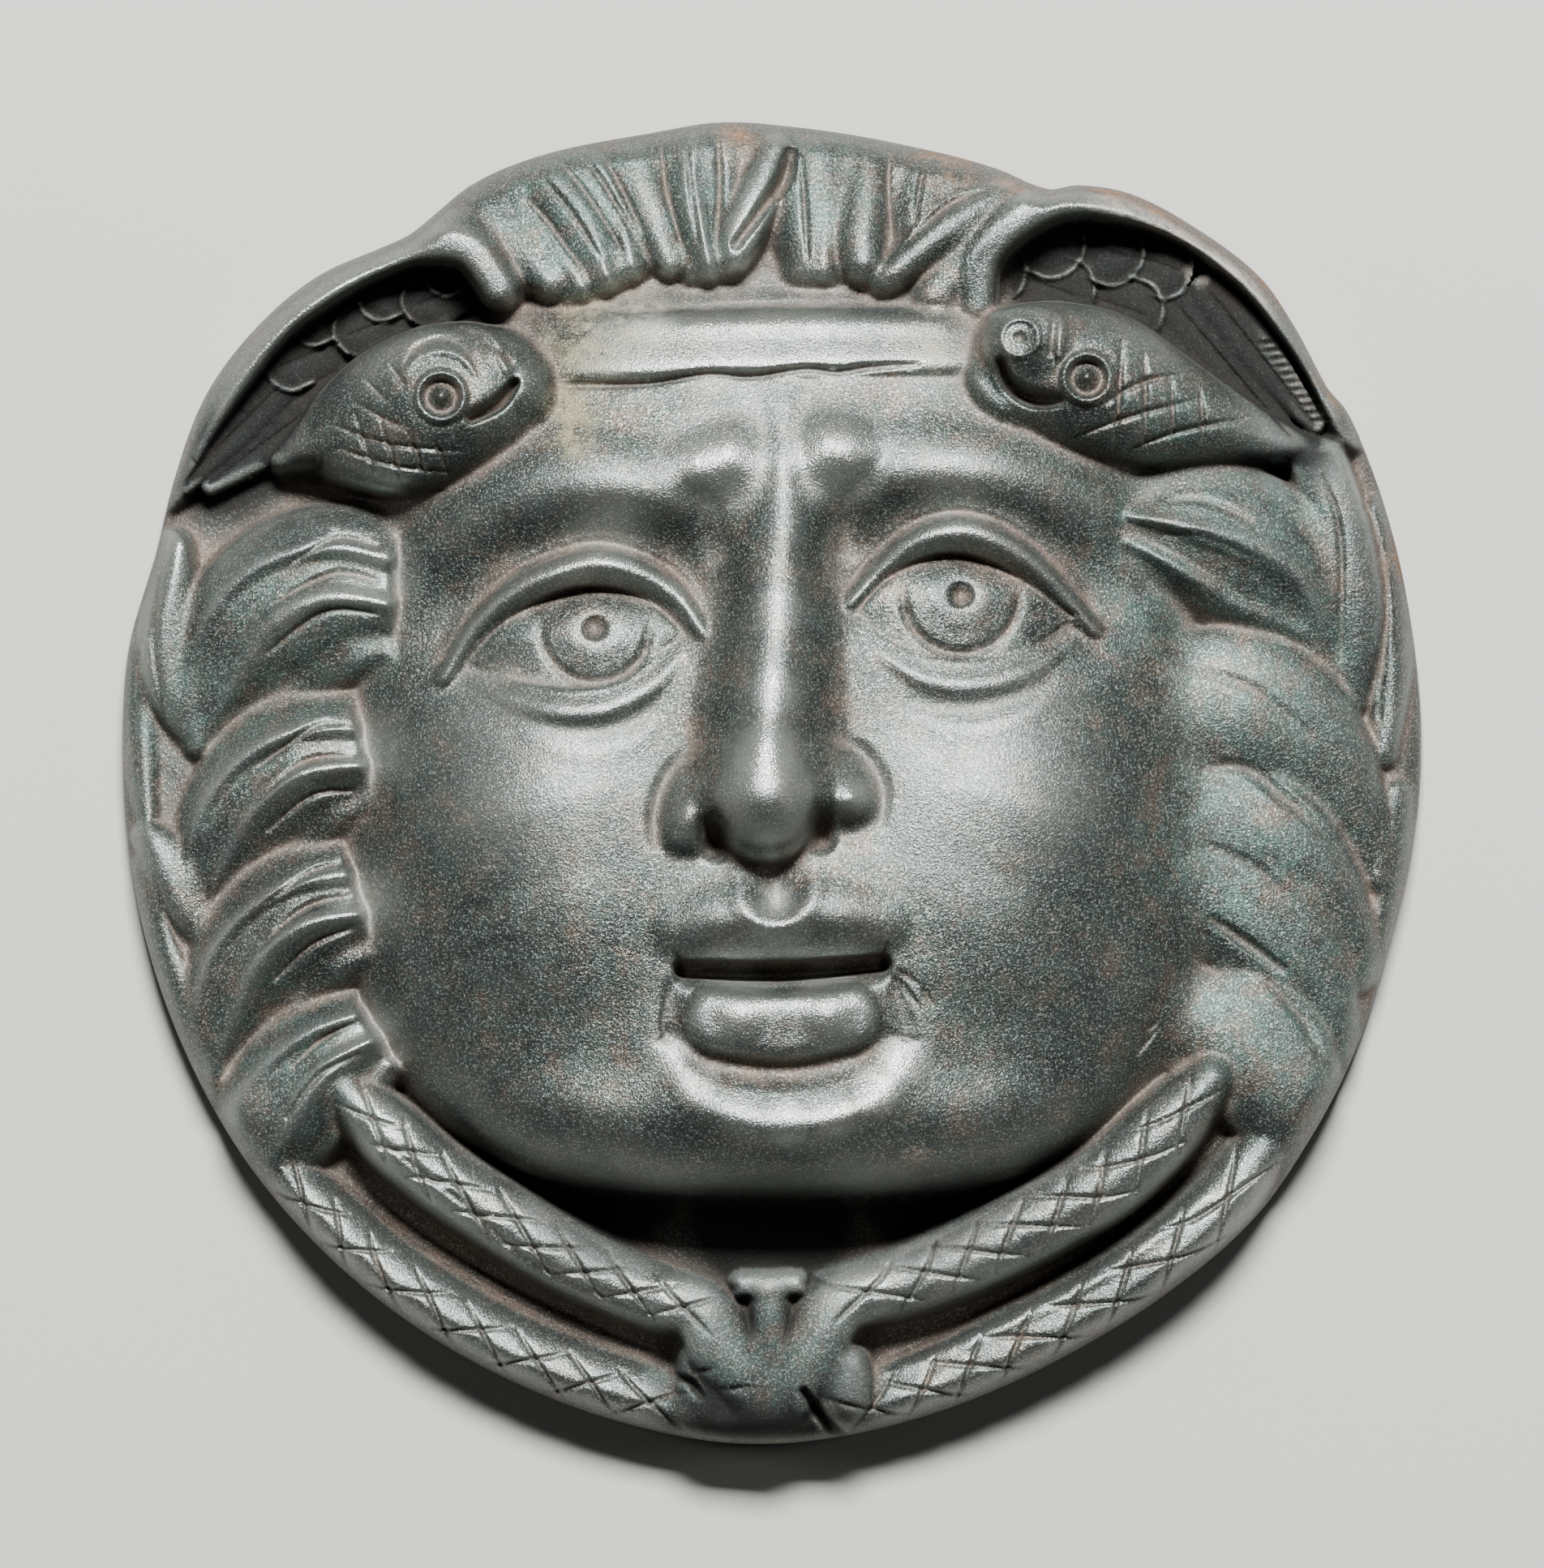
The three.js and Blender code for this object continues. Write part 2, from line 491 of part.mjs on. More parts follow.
// This side is worn lower and smoother
function rightHairForms() {
  return [
    roll([[96, -2, 2.6, 12.5], [95.5, -14, 3.4, 13], [93, -28, 2.8, 12.5]], 3, 3),
    roll([[94, 42, 2.8, 15], [95, 32, 3.4, 14.5], [95.4, 20, 3.4, 14], [93.6, 5, 2.6, 13.5]], 3, 3),
    roll([[83.6, 49, 4.6, 21], [86.6, 38, 5.2, 20], [88.4, 26, 5.2, 18.5], [88, 13, 3.4, 15.5]], 4, 3),
    roll([[62, -36, 7, 22], [72, -40, 11, 22.5], [80, -50, 9, 19.5], [82, -58, 5.6, 15]], 7, 5),
    roll([[62, -16, 7, 23], [73, -20.6, 9.4, 22.6], [81, -29, 7.6, 19.6], [87, -40, 4, 15]], 6, 5),
    roll([[62, -3, 7, 23.6], [74, -8, 9.6, 23.4], [82.4, -16.6, 8.2, 20], [89, -28, 4.6, 15]], 6, 5),
    roll([[60, 14, 8, 24], [71, 11.6, 12.4, 24.6], [80, 5.4, 11.2, 21.5], [88, -5, 6.6, 17],
      [92, -14, 3, 13.5]], 7, 5),
    lock([[54.6, 40, 7, 28], [63, 38.8, 11.4, 29], [72, 35.4, 12.8, 26.5], [80, 28, 10.4, 22],
      [84, 17.6, 5.4, 17]],
      { ...COMBED, fall: 10 }),
    roll([[66, 28.6, 2, 23.5], [74, 26.4, 2.4, 22], [81, 23, 1.6, 19.5]], 4, 2),
    // Valleys between the locks
    trail([[66, 2.4], [72, 2.4], [78, -2], [86, -9]], 1.6, -1),
    trail([[67, -20.6], [72, -24], [78, -28.4]], 1.4, -1.5),
  ];
}

// Snakes
function bodyForms() {
  return [
    roll([[-76, -59, 5, 17], [-69, -66.8, 6.2, 19], [-62, -73.4, 6.4, 19], [-52, -80.6, 6.6, 19],
      [-42, -86.4, 6.6, 18.5], [-32, -90.8, 6.6, 18], [-22, -94, 6.4, 17.5], [-11, -96.4, 5.8, 17]],
      9, 1.6),
    roll([[-65, -46.8, 4, 25], [-58.5, -53.4, 5.6, 27], [-52, -59, 5.8, 26.5], [-42.5, -65.5, 6, 25.5],
      [-33, -71.4, 6, 24.5], [-24.5, -75.7, 5.8, 23.5], [-16, -79, 5.6, 22.5], [-8, -81, 5.2, 21]],
      10, 1.6),
    roll([[75, -56, 5, 18], [66, -67.4, 6.4, 20], [56, -75.6, 6.8, 20], [46, -82, 6.8, 19.5],
      [36, -87.2, 6.8, 19], [27, -91.7, 6.6, 18.5], [18, -95, 6.4, 18], [9, -97, 5.4, 17]], 9, 1.6),
    roll([[67, -44.8, 4, 26], [60, -52.5, 6, 28], [52, -60, 6.4, 27.5], [44, -65, 6.4, 26.5],
      [35, -69.7, 6.4, 25.5], [27, -73.5, 6.2, 24.5], [18, -76.8, 5.8, 23.5], [7, -79, 5.2, 22]], 10, 1.6),
    swell([[66, -63, 1.8, 0.8], [50, -75, 2, 1.4], [30, -85, 2, 1.4], [16, -90, 1.8, 0.8]]),
  ];
}

function knotForms() {
  return [
    // Block under the knot, the loop at its right, the two strands that cross, and the bar over them
    roll([[-0.6, -85, 12, 21], [-1, -98, 12.5, 17]], 8, 3),
    roll([[-9.4, -88, 5, 22], [-8.6, -97, 6.2, 20]], 5, 3),
    roll([[11.6, -89, 3.6, 23.4], [10.6, -93.6, 4.8, 22.8], [9.6, -99, 5.2, 18.6]], 6, 1.6),
    roll([[15, -77.8, 4.4, 23.6], [10, -80.2, 4.8, 24.6], [6.4, -85.6, 5.2, 24.8], [2.6, -91.6, 5, 23.8],
      [-5, -99.6, 6, 18.6]], 5, 2.6),
    roll([[-15.6, -78.8, 4.4, 23.8], [-10.8, -80.6, 4.8, 24.8], [-7.8, -85.6, 5.4, 25], [-3, -91.4, 5, 24.2],
      [1.6, -99.6, 5.6, 19]], 5, 2.6),
    roll([[-0.4, -77.6, 3, 24.4], [-0.2, -86, 3, 23.6]], 4, 2.4),
    roll([[-4.6, -76.4, 2.2, 24], [3.6, -76.2, 2.2, 24]], 3, 3),
    // Cuts round the loop and at the left rope's end
    swell([[4.8, -92.6, 1, -2], [7.8, -97, 1.4, -4], [11, -100.6, 1.4, -4]]),
    swell([[-15, -90.6, 1, -2.4], [-12.6, -91.4, 1.2, -2.6], [-10.8, -93.4, 0.9, -1.6]]),
  ];
}

function leftHeadForms() {
  return [
    roll([[-75, 49.6, 3, 20], [-68.4, 52.6, 5.4, 28], [-62, 54.2, 9.4, 34], [-56, 55.8, 12, 39.5],
      [-50, 58.2, 12.2, 42], [-44, 59.6, 10.4, 42], [-39.6, 60, 7.8, 40]], 15, 1.6),
    roll([[-37.2, 60.6, 3.2, 35.6], [-36, 57.6, 4, 35.6]], 7, 3),
    swell([[-45.4, 55.4, 1.3, -4], [-41.4, 57.6, 1.5, -5.5], [-39, 60.6, 1.1, -3.5]]),
    swell([[-48, 70.6, 1.2, 0.8], [-42.6, 67.4, 1.3, 1.4], [-40, 62.6, 1.1, 1]]),
    swell(tapered([[-55.6, 61.6], [-54, 64.2], [-50.4, 65.6], [-47, 64.6], [-44.8, 61.8]], 1.2, 1)),
    ...snakeEyeForms([-50, 58.6]),
  ];
}

function rightHeadForms() {
  return [
    roll([[84, 50.6, 2.8, 19], [74, 53, 5, 26], [66, 55.4, 7, 32], [58, 57.8, 9.4, 38],
      [50, 60.8, 11.4, 42], [43.6, 62.8, 10.8, 43], [38, 64.4, 8.8, 41]], 15, 1.6),
    roll([[37.6, 67, 5.8, 44], [40, 67, 5.8, 44.6]], 7, 3),
    roll([[31.6, 65.6, 2, 34], [31.8, 61, 2.8, 37], [35, 57.4, 3, 37], [41, 55.4, 2.4, 36]], 6, 1.6),
    swell([[34.6, 64, 1.1, -3], [36, 60.6, 1.5, -5.5], [39.6, 58.4, 2, -6.5], [43.4, 58, 1.3, -3]]),
    swell([[43.4, 64.6, 1, 0.9], [44, 71, 1, 0.9]]),
    ...snakeEyeForms([47.6, 61.4]),
  ];
}

function snakeEyeForms([x, y]) {
  return [
    swell([[x, y, 5.6, -1.6]]),
    swell(ringOf(x, y, 3.9, 1, 2)),
    swell([[x, y, 1.9, 2.6]]),
  ];
}

// Wings: a bowl inside a crest of [x, y, height], with the outer slope falling from it. The
// feathers lie in the bowl, clear of its crest and of the snake.
const WING_BED = 17;
const WING_TOP = 22;
const CREST = { out: 1.022, halfWidth: 3.4, fall: 5, blend: 3 }; // out: a share of its own places
const OUTER_SLOPE = { below: 2, fall: 9, blend: 2 };
const FEATHER = { fall: 1.4, blend: 0.3 };

const LEFT_WING = {
  crest: [[-90.6, 44.6, 17], [-86.4, 52.4, 21.5], [-80.4, 61, 25.5], [-76.2, 66.4, 27], [-71.6, 71, 28],
    [-64, 76, 28.5], [-58, 79, 29], [-52, 80.6, 30], [-45, 79.6, 31], [-40.6, 74, 31]],
  inner: [[-44, 68], [-56, 58], [-72, 50]],
  slopeOut: 1.036,
  slopeHalfWidth: 5,
  longFeathers: [
    { from: [-68, 59], to: [-86, 46], halfWidth: 3.4, height: 17 },
    { from: [-73, 63], to: [-90, 46], halfWidth: 3.2, height: 17.6 },
  ],
  scales: [[-73.2, 64.6, 4.4], [-69.8, 70.8, 3.8], [-62.6, 69.4, 4.4], [-59.4, 74.6, 3.8], [-52.4, 74, 4.2],
    [-49.4, 78.2, 3.6]],
  scaleTurn: -157,
  scaleHeight: 18.6,
};

const RIGHT_WING = {
  crest: [[30.6, 71.6, 30], [31.4, 78.6, 31], [36.6, 84, 31.5], [44.2, 87.2, 30.5], [54.6, 86.2, 29],
    [63.2, 82.8, 28], [71.6, 76.6, 26.5], [78, 69.2, 25], [83.2, 61.6, 22.5], [87, 53.4, 19]],
  inner: [[80, 51], [66, 56], [46, 64]],
  slopeOut: 1.028,
  slopeHalfWidth: 4,
  longFeathers: [
    { from: [59, 68], to: [74, 53.6], halfWidth: 3.8, height: 17.4 },
    { from: [62, 73], to: [79, 53], halfWidth: 3.8, height: 17.8 },
    { from: [67, 75], to: [83, 55], halfWidth: 3.4, height: 18.4 },
  ],
  scales: [[59.4, 79.4, 5.2], [54.6, 72.4, 5.2], [51.4, 81.6, 5.4], [43.8, 75.4, 5.6], [42.4, 82.8, 5.4],
    [33.6, 78.2, 5.2]],
  scaleTurn: -20,
  scaleHeight: 19,
};

function wingForms({ crest, inner, slopeOut, slopeHalfWidth }) {
  return [
    roll(
      crest.map(([x, y, z]) => [x * slopeOut, y * slopeOut, slopeHalfWidth, z - OUTER_SLOPE.below]),
      OUTER_SLOPE.fall,
      OUTER_SLOPE.blend,
    ),
    bowl([...crest, ...inner], WING_BED),
    roll(
      crest.map(([x, y, z]) => [x * CREST.out, y * CREST.out, CREST.halfWidth, z]),
      CREST.fall,
      CREST.blend,
    ),
  ];
}

function longFeather({ from, to, halfWidth, height }) {
  const middle = [mix(from[0], to[0], 0.5), mix(from[1], to[1], 0.5)];
  return roll([
    [...from, halfWidth, height],
    [...middle, halfWidth, height - 0.6],
    [...to, halfWidth / 2, height - 1.6],
  ], FEATHER.fall, FEATHER.blend, leaf);
}

// A scale feather of a radius, laid from its root the way of turn, in degrees
function scaleFeather([x, y, radius], turn, height) {
  const angle = turn / 360 * FULL_TURN;
  const back = 1.1 * radius;
  const root = [x - back * Math.cos(angle), y - back * Math.sin(angle)];
  return roll([[...root, radius, height - 2], [x, y, radius, height]], FEATHER.fall, FEATHER.blend, leaf);
}

function featherForms({ longFeathers, scales, scaleTurn, scaleHeight }) {
  return under(WING_TOP, [
    ...longFeathers.map(longFeather),
    ...scales.map((scale) => scaleFeather(scale, scaleTurn, scaleHeight)),
  ]);
}

// The whole relief: its broad forms first, then what is cut into them
const forms = [
  ...faceForms(),
  ...lidForms(LEFT_EYE),
  ...lidForms(RIGHT_EYE),
  ...noseForms(),
  ...upperLipForms(),
  ...lowerLipForms(),
  ...filletForms(),
  ...topHairForms(),
  ...leftHairForms(),
  ...rightHairForms(),
  ...bodyForms(),
  ...knotForms(),
  ...wingForms(LEFT_WING),
  ...wingForms(RIGHT_WING),
  ...eyeChisel(LEFT_EYE),
  ...eyeChisel(RIGHT_EYE),
  ...mouthChisel(),
  featherForms(LEFT_WING),
  featherForms(RIGHT_WING),
  ...leftHeadForms(),
  ...rightHeadForms(),
];

// The bed that the hair, snakes and wings lie on, and the dome of the face
const BED_EDGE = 9;
const BED_MIDDLE = 16;

function bareHeight(x, y, reach) {
  const bed = mix(BED_MIDDLE, BED_EDGE, reach * reach);
  const top = faceProfile.at(-1)[0];
  const foot = faceProfile[0][0];
  if (y > top || y < foot) return bed;
  const turn = Math.abs(x - FACE_MIDDLE) / curveThrough(faceHalfWidth, y);
  if (turn > 1) return bed;
  const fullness = (1 - turn ** FACE_FULLNESS) ** FACE_TURN;
  return softMax(bed, mix(FACE_EDGE, curveThrough(faceProfile, y), fullness), 2);
}

// Height of the relief in shares
function relief(x, y) {
  const reach = Math.hypot(x, y) / outlineRadius(Math.atan2(y, x));
  const carved = forms.reduce((z, form) => form(x, y, z), bareHeight(x, y, reach));
  const edge = EDGE_HEIGHT / RISE;
  const inside = clamp((1 - reach) * WIDTH / 2 / EDGE_ROUNDING);
  return mix(edge, carved, Math.sqrt(1 - (1 - inside) ** 2));
}

// Facets of the front: the square lattice is pressed into a disc, and the disc into the outline
function placeOf(i, j) {
  const u = 2 * i / LATTICE - 1;
  const v = 2 * j / LATTICE - 1;
  const x = u * Math.sqrt(1 - v * v / 2);
  const y = v * Math.sqrt(1 - u * u / 2);
  const radius = outlineRadius(Math.atan2(y, x));
  return [x * radius, y * radius];
}

const latticeHeights = new Map();
const keyOf = (i, j) => i * (LATTICE + 1) + j;

function heightAt(i, j) {
  const key = keyOf(i, j);
  if (!latticeHeights.has(key)) latticeHeights.set(key, relief(...placeOf(i, j)));
  return latticeHeights.get(key);
}

// How much of the relief a flat patch over one cell misses: its mean miss times its width
function missOf(i, j, size) {
  const places = [[i, j], [i + size, j], [i, j + size], [i + size, j + size]];
  const corners = places.map(([a, b]) => heightAt(a, b));
  const step = size > 4 ? size / 4 : 1;
  let miss = 0;
  let samples = 0;
  for (let a = 0; a <= size; a += step) {
    for (let b = 0; b <= size; b += step) {
      const near = mix(corners[0], corners[1], a / size);
      const far = mix(corners[2], corners[3], a / size);
      miss += Math.abs(heightAt(i + a, j + b) - mix(near, far, b / size));
      samples += 1;
    }
  }
  return miss / samples * size;
}

function toleranceAt(i, j) {
  const [x, y] = placeOf(i, j);
  const onFeatures = Math.abs(x) < FEATURES.halfWidth && y > FEATURES.foot && y < FEATURES.top;
  return onFeatures ? FEATURE_TOLERANCE : FACET_TOLERANCE;
}

function cellsOf(i, j, size) {
  const atEdge = i === 0 || j === 0 || i + size === LATTICE || j + size === LATTICE;
  const coarse = size > LARGEST_CELL || (atEdge && size > EDGE_CELL);
  const near = size === SMALLEST_CELL || missOf(i, j, size) < toleranceAt(i + size / 2, j + size / 2);
  if (!coarse && near) return [[i, j, size]];
  const half = size / 2;
  return [
    ...cellsOf(i, j, half), ...cellsOf(i + half, j, half),
    ...cellsOf(i, j + half, half), ...cellsOf(i + half, j + half, half),
  ];
}

const positions = [];
const triangles = [];

function addVertex(x, y, z) {
  positions.push(x * SHARE, y * SHARE, z * RISE);
  return positions.length / 3 - 1;
}

const latticeVertices = new Map();

function latticeVertex(i, j) {
  const key = keyOf(i, j);
  if (!latticeVertices.has(key)) latticeVertices.set(key, addVertex(...placeOf(i, j), heightAt(i, j)));
  return latticeVertices.get(key);
}

// Corners of a cell and of its smaller neighbours, anticlockwise round its border
function borderOf(i, j, size) {
  const border = [];
  const walk = (di, dj, fromI, fromJ) => {
    for (let k = 0; k < size; k += 1) {
      const key = keyOf(fromI + di * k, fromJ + dj * k);
      if (latticeVertices.has(key)) border.push(latticeVertices.get(key));
    }
  };
  walk(1, 0, i, j);
  walk(0, 1, i + size, j);
  walk(-1, 0, i + size, j + size);
  walk(0, -1, i, j + size);
  return border;
}

function buildFront() {
  const cells = cellsOf(0, 0, LATTICE);
  for (const [i, j, size] of cells) {
    latticeVertex(i, j);
    latticeVertex(i + size, j);
    latticeVertex(i, j + size);
    latticeVertex(i + size, j + size);
  }
  for (const [i, j, size] of cells) {
    const border = borderOf(i, j, size);
    if (border.length === 4) {
      const rising = Math.abs(heightAt(i, j) - heightAt(i + size, j + size));
      const falling = Math.abs(heightAt(i + size, j) - heightAt(i, j + size));
      const [a, b, c, d] = border;
      triangles.push(...(rising < falling ? [[a, b, c], [a, c, d]] : [[b, c, d], [b, d, a]]));
    } else {
      const [x, y] = placeOf(i + size / 2, j + size / 2);
      const middle = addVertex(x, y, relief(x, y));
      border.forEach((vertex, k) => triangles.push([middle, vertex, border[(k + 1) % border.length]]));
    }
  }
  return borderOf(0, 0, LATTICE);
}

// Joins two closed loops of vertices that run the same way round, whatever their counts
function joinLoops(from, to) {
  const [n, m] = [from.length, to.length];
  let [a, b] = [0, 0];
  while (a < n || b < m) {
    const stepFrom = b === m || (a < n && (a + 0.5) / n < (b + 0.5) / m);
    if (stepFrom) {
      triangles.push([from[a % n], to[b % m], from[(a + 1) % n]]);
      a += 1;
    } else {
      triangles.push([from[a % n], to[b % m], to[(b + 1) % m]]);
      b += 1;
    }
  }
}

// Height of the hollow behind: the relief seen through an even wall
function hollowHeight(x, y) {
  const reach = WALL / SHARE;
  const ring = 12;
  let height = relief(x, y) - WALL / RISE;
  for (const share of [0.5, 0.95]) {
    const drop = WALL * Math.sqrt(1 - share * share) / RISE;
    for (let k = 0; k < ring; k += 1) {
      const angle = k / ring * FULL_TURN;
      const near = relief(x + reach * share * Math.cos(angle), y + reach * share * Math.sin(angle));
      height = Math.min(height, near - drop);
    }
  }
  return height;
}

const HOLLOW_LEAST = 1.2; // shares, where the relief is thinnest
const HOLLOW_TURN = 0.12; // share of the radius over which its side rises

function hollowLoop(share) {
  const mouth = 1 - RIM_WIDTH / (WIDTH / 2);
  const side = HOLLOW_SIDES / 4;
  const corners = [[0, 0, 1, 0], [1, 0, 0, 1], [1, 1, -1, 0], [0, 1, 0, -1]];
  return corners.flatMap(([startI, startJ, di, dj]) => Array.from({ length: side }, (_, k) => {
    const [x, y] = placeOf((startI + di * k / side) * LATTICE, (startJ + dj * k / side) * LATTICE);
    const turn = clamp((1 - share) / HOLLOW_TURN);
    const ceiling = Math.max(hollowHeight(x * share * mouth, y * share * mouth), HOLLOW_LEAST);
    const z = share === 1 ? 0 : ceiling * Math.sqrt(1 - (1 - turn) ** 2);
    return addVertex(x * share * mouth, y * share * mouth, z);
  }));
}

function buildBack(frontEdge) {
  const backEdge = frontEdge.map((vertex) => {
    const [x, y] = positions.slice(vertex * 3, vertex * 3 + 2);
    return addVertex(x / SHARE, y / SHARE, 0);
  });
  joinLoops(frontEdge, backEdge);
  let outer = backEdge;
  for (const share of [1, ...HOLLOW_RINGS]) {
    const inner = hollowLoop(share);
    joinLoops(outer, inner);
    outer = inner;
  }
  const apex = addVertex(0, 0, hollowHeight(0, 0));
  outer.forEach((vertex, k) => triangles.push([vertex, apex, outer[(k + 1) % outer.length]]));
}

function maskGeometry() {
  buildBack(buildFront());
  const geometry = new THREE.BufferGeometry();
  geometry.setAttribute('position', new THREE.Float32BufferAttribute(positions, 3));
  geometry.setIndex(triangles.flat());
  return mergeVertices(geometry, 1e-4);
}

const bronze = new THREE.MeshStandardMaterial({ color: 0x4d5754, roughness: 0.5, metalness: 0.8 });

const mask = new THREE.Mesh(maskGeometry(), bronze);
mask.name = 'gorgon_mask';

const object = new THREE.Group();
object.add(mask);

export default object;
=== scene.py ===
"""Looks of a gorgon mask: a cast bronze relief ornament that lies face up on a pale floor.

The relief is carved on a raster of heights by strokes of a sculptor's tool, then pressed into a
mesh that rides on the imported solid. Metres, +Z out of the face, +Y to the top of the head.
"""

import math
from collections import namedtuple
from functools import partial
from types import SimpleNamespace

import bpy
import numpy as np
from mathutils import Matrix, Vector


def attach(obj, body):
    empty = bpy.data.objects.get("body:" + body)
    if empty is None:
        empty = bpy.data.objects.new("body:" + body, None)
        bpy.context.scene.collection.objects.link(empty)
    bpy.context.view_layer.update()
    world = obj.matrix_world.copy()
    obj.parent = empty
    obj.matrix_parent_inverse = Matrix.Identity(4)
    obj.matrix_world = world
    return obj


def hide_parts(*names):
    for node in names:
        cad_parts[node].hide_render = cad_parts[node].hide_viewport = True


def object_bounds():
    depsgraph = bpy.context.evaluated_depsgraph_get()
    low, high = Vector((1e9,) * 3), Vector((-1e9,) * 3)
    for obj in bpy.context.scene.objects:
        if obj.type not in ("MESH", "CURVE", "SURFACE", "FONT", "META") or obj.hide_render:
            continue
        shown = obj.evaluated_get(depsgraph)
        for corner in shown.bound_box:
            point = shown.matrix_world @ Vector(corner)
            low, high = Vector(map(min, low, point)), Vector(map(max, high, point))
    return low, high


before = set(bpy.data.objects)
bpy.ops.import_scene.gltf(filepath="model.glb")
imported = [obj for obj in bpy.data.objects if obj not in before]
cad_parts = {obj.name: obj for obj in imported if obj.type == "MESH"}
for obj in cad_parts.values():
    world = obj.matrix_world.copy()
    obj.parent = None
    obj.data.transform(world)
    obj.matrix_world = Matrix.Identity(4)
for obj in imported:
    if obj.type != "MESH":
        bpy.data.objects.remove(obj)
FRAME_BOX = [list(corner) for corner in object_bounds()]

bl_info = {
    "name": "Gorgon mask",
    "version": (1, 0, 0),
    "blender": (4, 5, 0),
    "location": "3D View > Sidebar > Gorgon mask",
    "description": "Builds the carved bronze mask over its packed solid, with its stage",
    "category": "Object",
}

# The carving is laid out in shares, hundredths of the half width, across and in height alike
SHARE = 0.00045
WIDTH = 200.0  # shares
EDGE_HEIGHT = 4.0
EDGE_ROUNDING = 4.9
RASTER_HALF = 104.0  # shares from the middle to the side of the raster of heights
LINE_STEPS = 24  # steps between two points of a stroke
SOFTENING = 0.6  # shares over which the broad forms are rubbed smooth

# Outline of the casting, anticlockwise from the right, with its nicks at the wing roots
OUTLINE = [
    (100, 6), (98.8, 22), (96.2, 36), (92, 49.5), (88.4, 57.5), (85.3, 61.2), (80, 71), (75, 78),
    (65, 85.6), (55, 90.8), (47, 92.1), (42.5, 91.5), (35, 94.6), (20, 98.5), (5, 101), (-8, 101.9),
    (-20, 100), (-37, 96.3), (-46, 92.4), (-55, 85), (-60, 82.5), (-70, 78), (-79.5, 70), (-87, 60),
    (-92, 47), (-95, 35), (-99, 21), (-100, 8), (-99.3, -8), (-95, -29), (-90, -42), (-81, -58),
    (-70, -71), (-55, -83.5), (-40, -92), (-25, -97.8), (-5, -101.6), (12, -100.3), (25, -96.9),
    (45, -88.2), (60, -79), (75, -66), (82, -56), (89, -43), (95, -25), (98.8, -9),
]

# Midline of the face: (place, height) from under the chin to the hair, and its half width there
FACE_PROFILE = [
    (-66, 11), (-63.5, 22), (-60.5, 33), (-56, 39.5), (-50, 42), (-42, 41), (-28, 42.5), (0, 42.5),
    (20, 41), (34, 39.5), (47, 40.5), (56, 38), (67, 32.5), (77, 25), (84, 16),
]
FACE_HALF_WIDTH = [
    (-66, 18), (-62, 33), (-58, 43), (-52, 52), (-42, 61), (-30, 66), (-15, 68), (5, 67.5),
    (25, 65), (45, 62), (62, 56), (77, 42), (84, 30),
]
FACE_MIDDLE = 1.0
FACE_EDGE = 12.0
FACE_FULLNESS = 2.6  # the higher it is, the flatter the face and the steeper its sides
FACE_TURN = 0.6
BED_EDGE = 9.0
BED_MIDDLE = 16.0
BED_REACH = 1.2  # shares of the outline's radius over which the bed goes on falling
FACE_BLEND = 2.0

# How strokes are rubbed, how they end and how hair is combed
BOX_SHARE = 0.6  # half width of one of three box averages, over the radius they stand for
LOCK_TURN = 0.7  # how sharply the sides of a lock turn down
STRAND_WAVE = 5
STRAND_SLANT = 3
FINER_STRANDS = SimpleNamespace(share=0.3, pitch=2.3)
THIN_END = 0.35  # share of its size that a tapered stroke keeps at its ends
THINNING = 0.6
FADED_END = 0.4  # share of its depth that a chisel line keeps at its ends
CUT_END = SimpleNamespace(width=0.5, depth=0.3)  # the same for a straight cut
DOT_LENGTH = 1e-3  # a stroke of one point is drawn out this far


# Curves and blends
def soft_max(a, b, blend):
    """The higher of two heights, with the corner between them filled over the blend."""
    overlap = np.maximum(blend - np.abs(a - b), 0) / blend
    return np.maximum(a, b) + overlap * overlap * blend / 4


def hermite(a, b, slope_a, slope_b, t):
    """A value on the smooth curve from a to b with these slopes, a share t of the way along."""
    t2 = t * t
    t3 = t2 * t
    from_a = (2 * t3 - 3 * t2 + 1) * a + (t3 - 2 * t2 + t) * slope_a
    return from_a + (3 * t2 - 2 * t3) * b + (t3 - t2) * slope_b


def curve_through(rows, place):
    """A smooth curve through (place, value) rows, read at an array of places."""
    places, values = np.array(rows, float).T
    slopes = np.empty_like(values)
    slopes[1:-1] = (values[2:] - values[:-2]) / (places[2:] - places[:-2])
    slopes[0] = (values[1] - values[0]) / (places[1] - places[0])
    slopes[-1] = (values[-1] - values[-2]) / (places[-1] - places[-2])
    i = np.clip(np.searchsorted(places, place, side="right") - 1, 0, len(places) - 2)
    span = places[i + 1] - places[i]
    t = np.clip((place - places[i]) / span, 0, 1)
    return hermite(values[i], values[i + 1], slopes[i] * span, slopes[i + 1] * span, t)


def outline_radius(angle):
    """Radius of the outline, repeated past both ends so that the curve closes smoothly."""
    turns = sorted((math.atan2(y, x), math.hypot(x, y)) for x, y in OUTLINE)
    before = [(turn - math.tau, radius) for turn, radius in turns[-2:]]
    after = [(turn + math.tau, radius) for turn, radius in turns[:2]]
    return curve_through(before + turns + after, angle)


def smooth_line(points):
    """A stroke's (x, y, half width, height) points, with smooth steps between them."""
    points = np.array(points, float)
    if len(points) == 1:
        points = np.vstack([points, points + [DOT_LENGTH, 0, 0, 0]])
    start, end = points[:-1], points[1:]
    before = np.vstack([points[:1], points[:-2]])
    after = np.vstack([points[2:], points[-1:]])
    t = (np.arange(LINE_STEPS) / LINE_STEPS)[:, None, None]
    line = hermite(start, end, (end - before) / 2, (after - start) / 2, t)
    return np.vstack([line.transpose(1, 0, 2).reshape(-1, 4), points[-1:]])


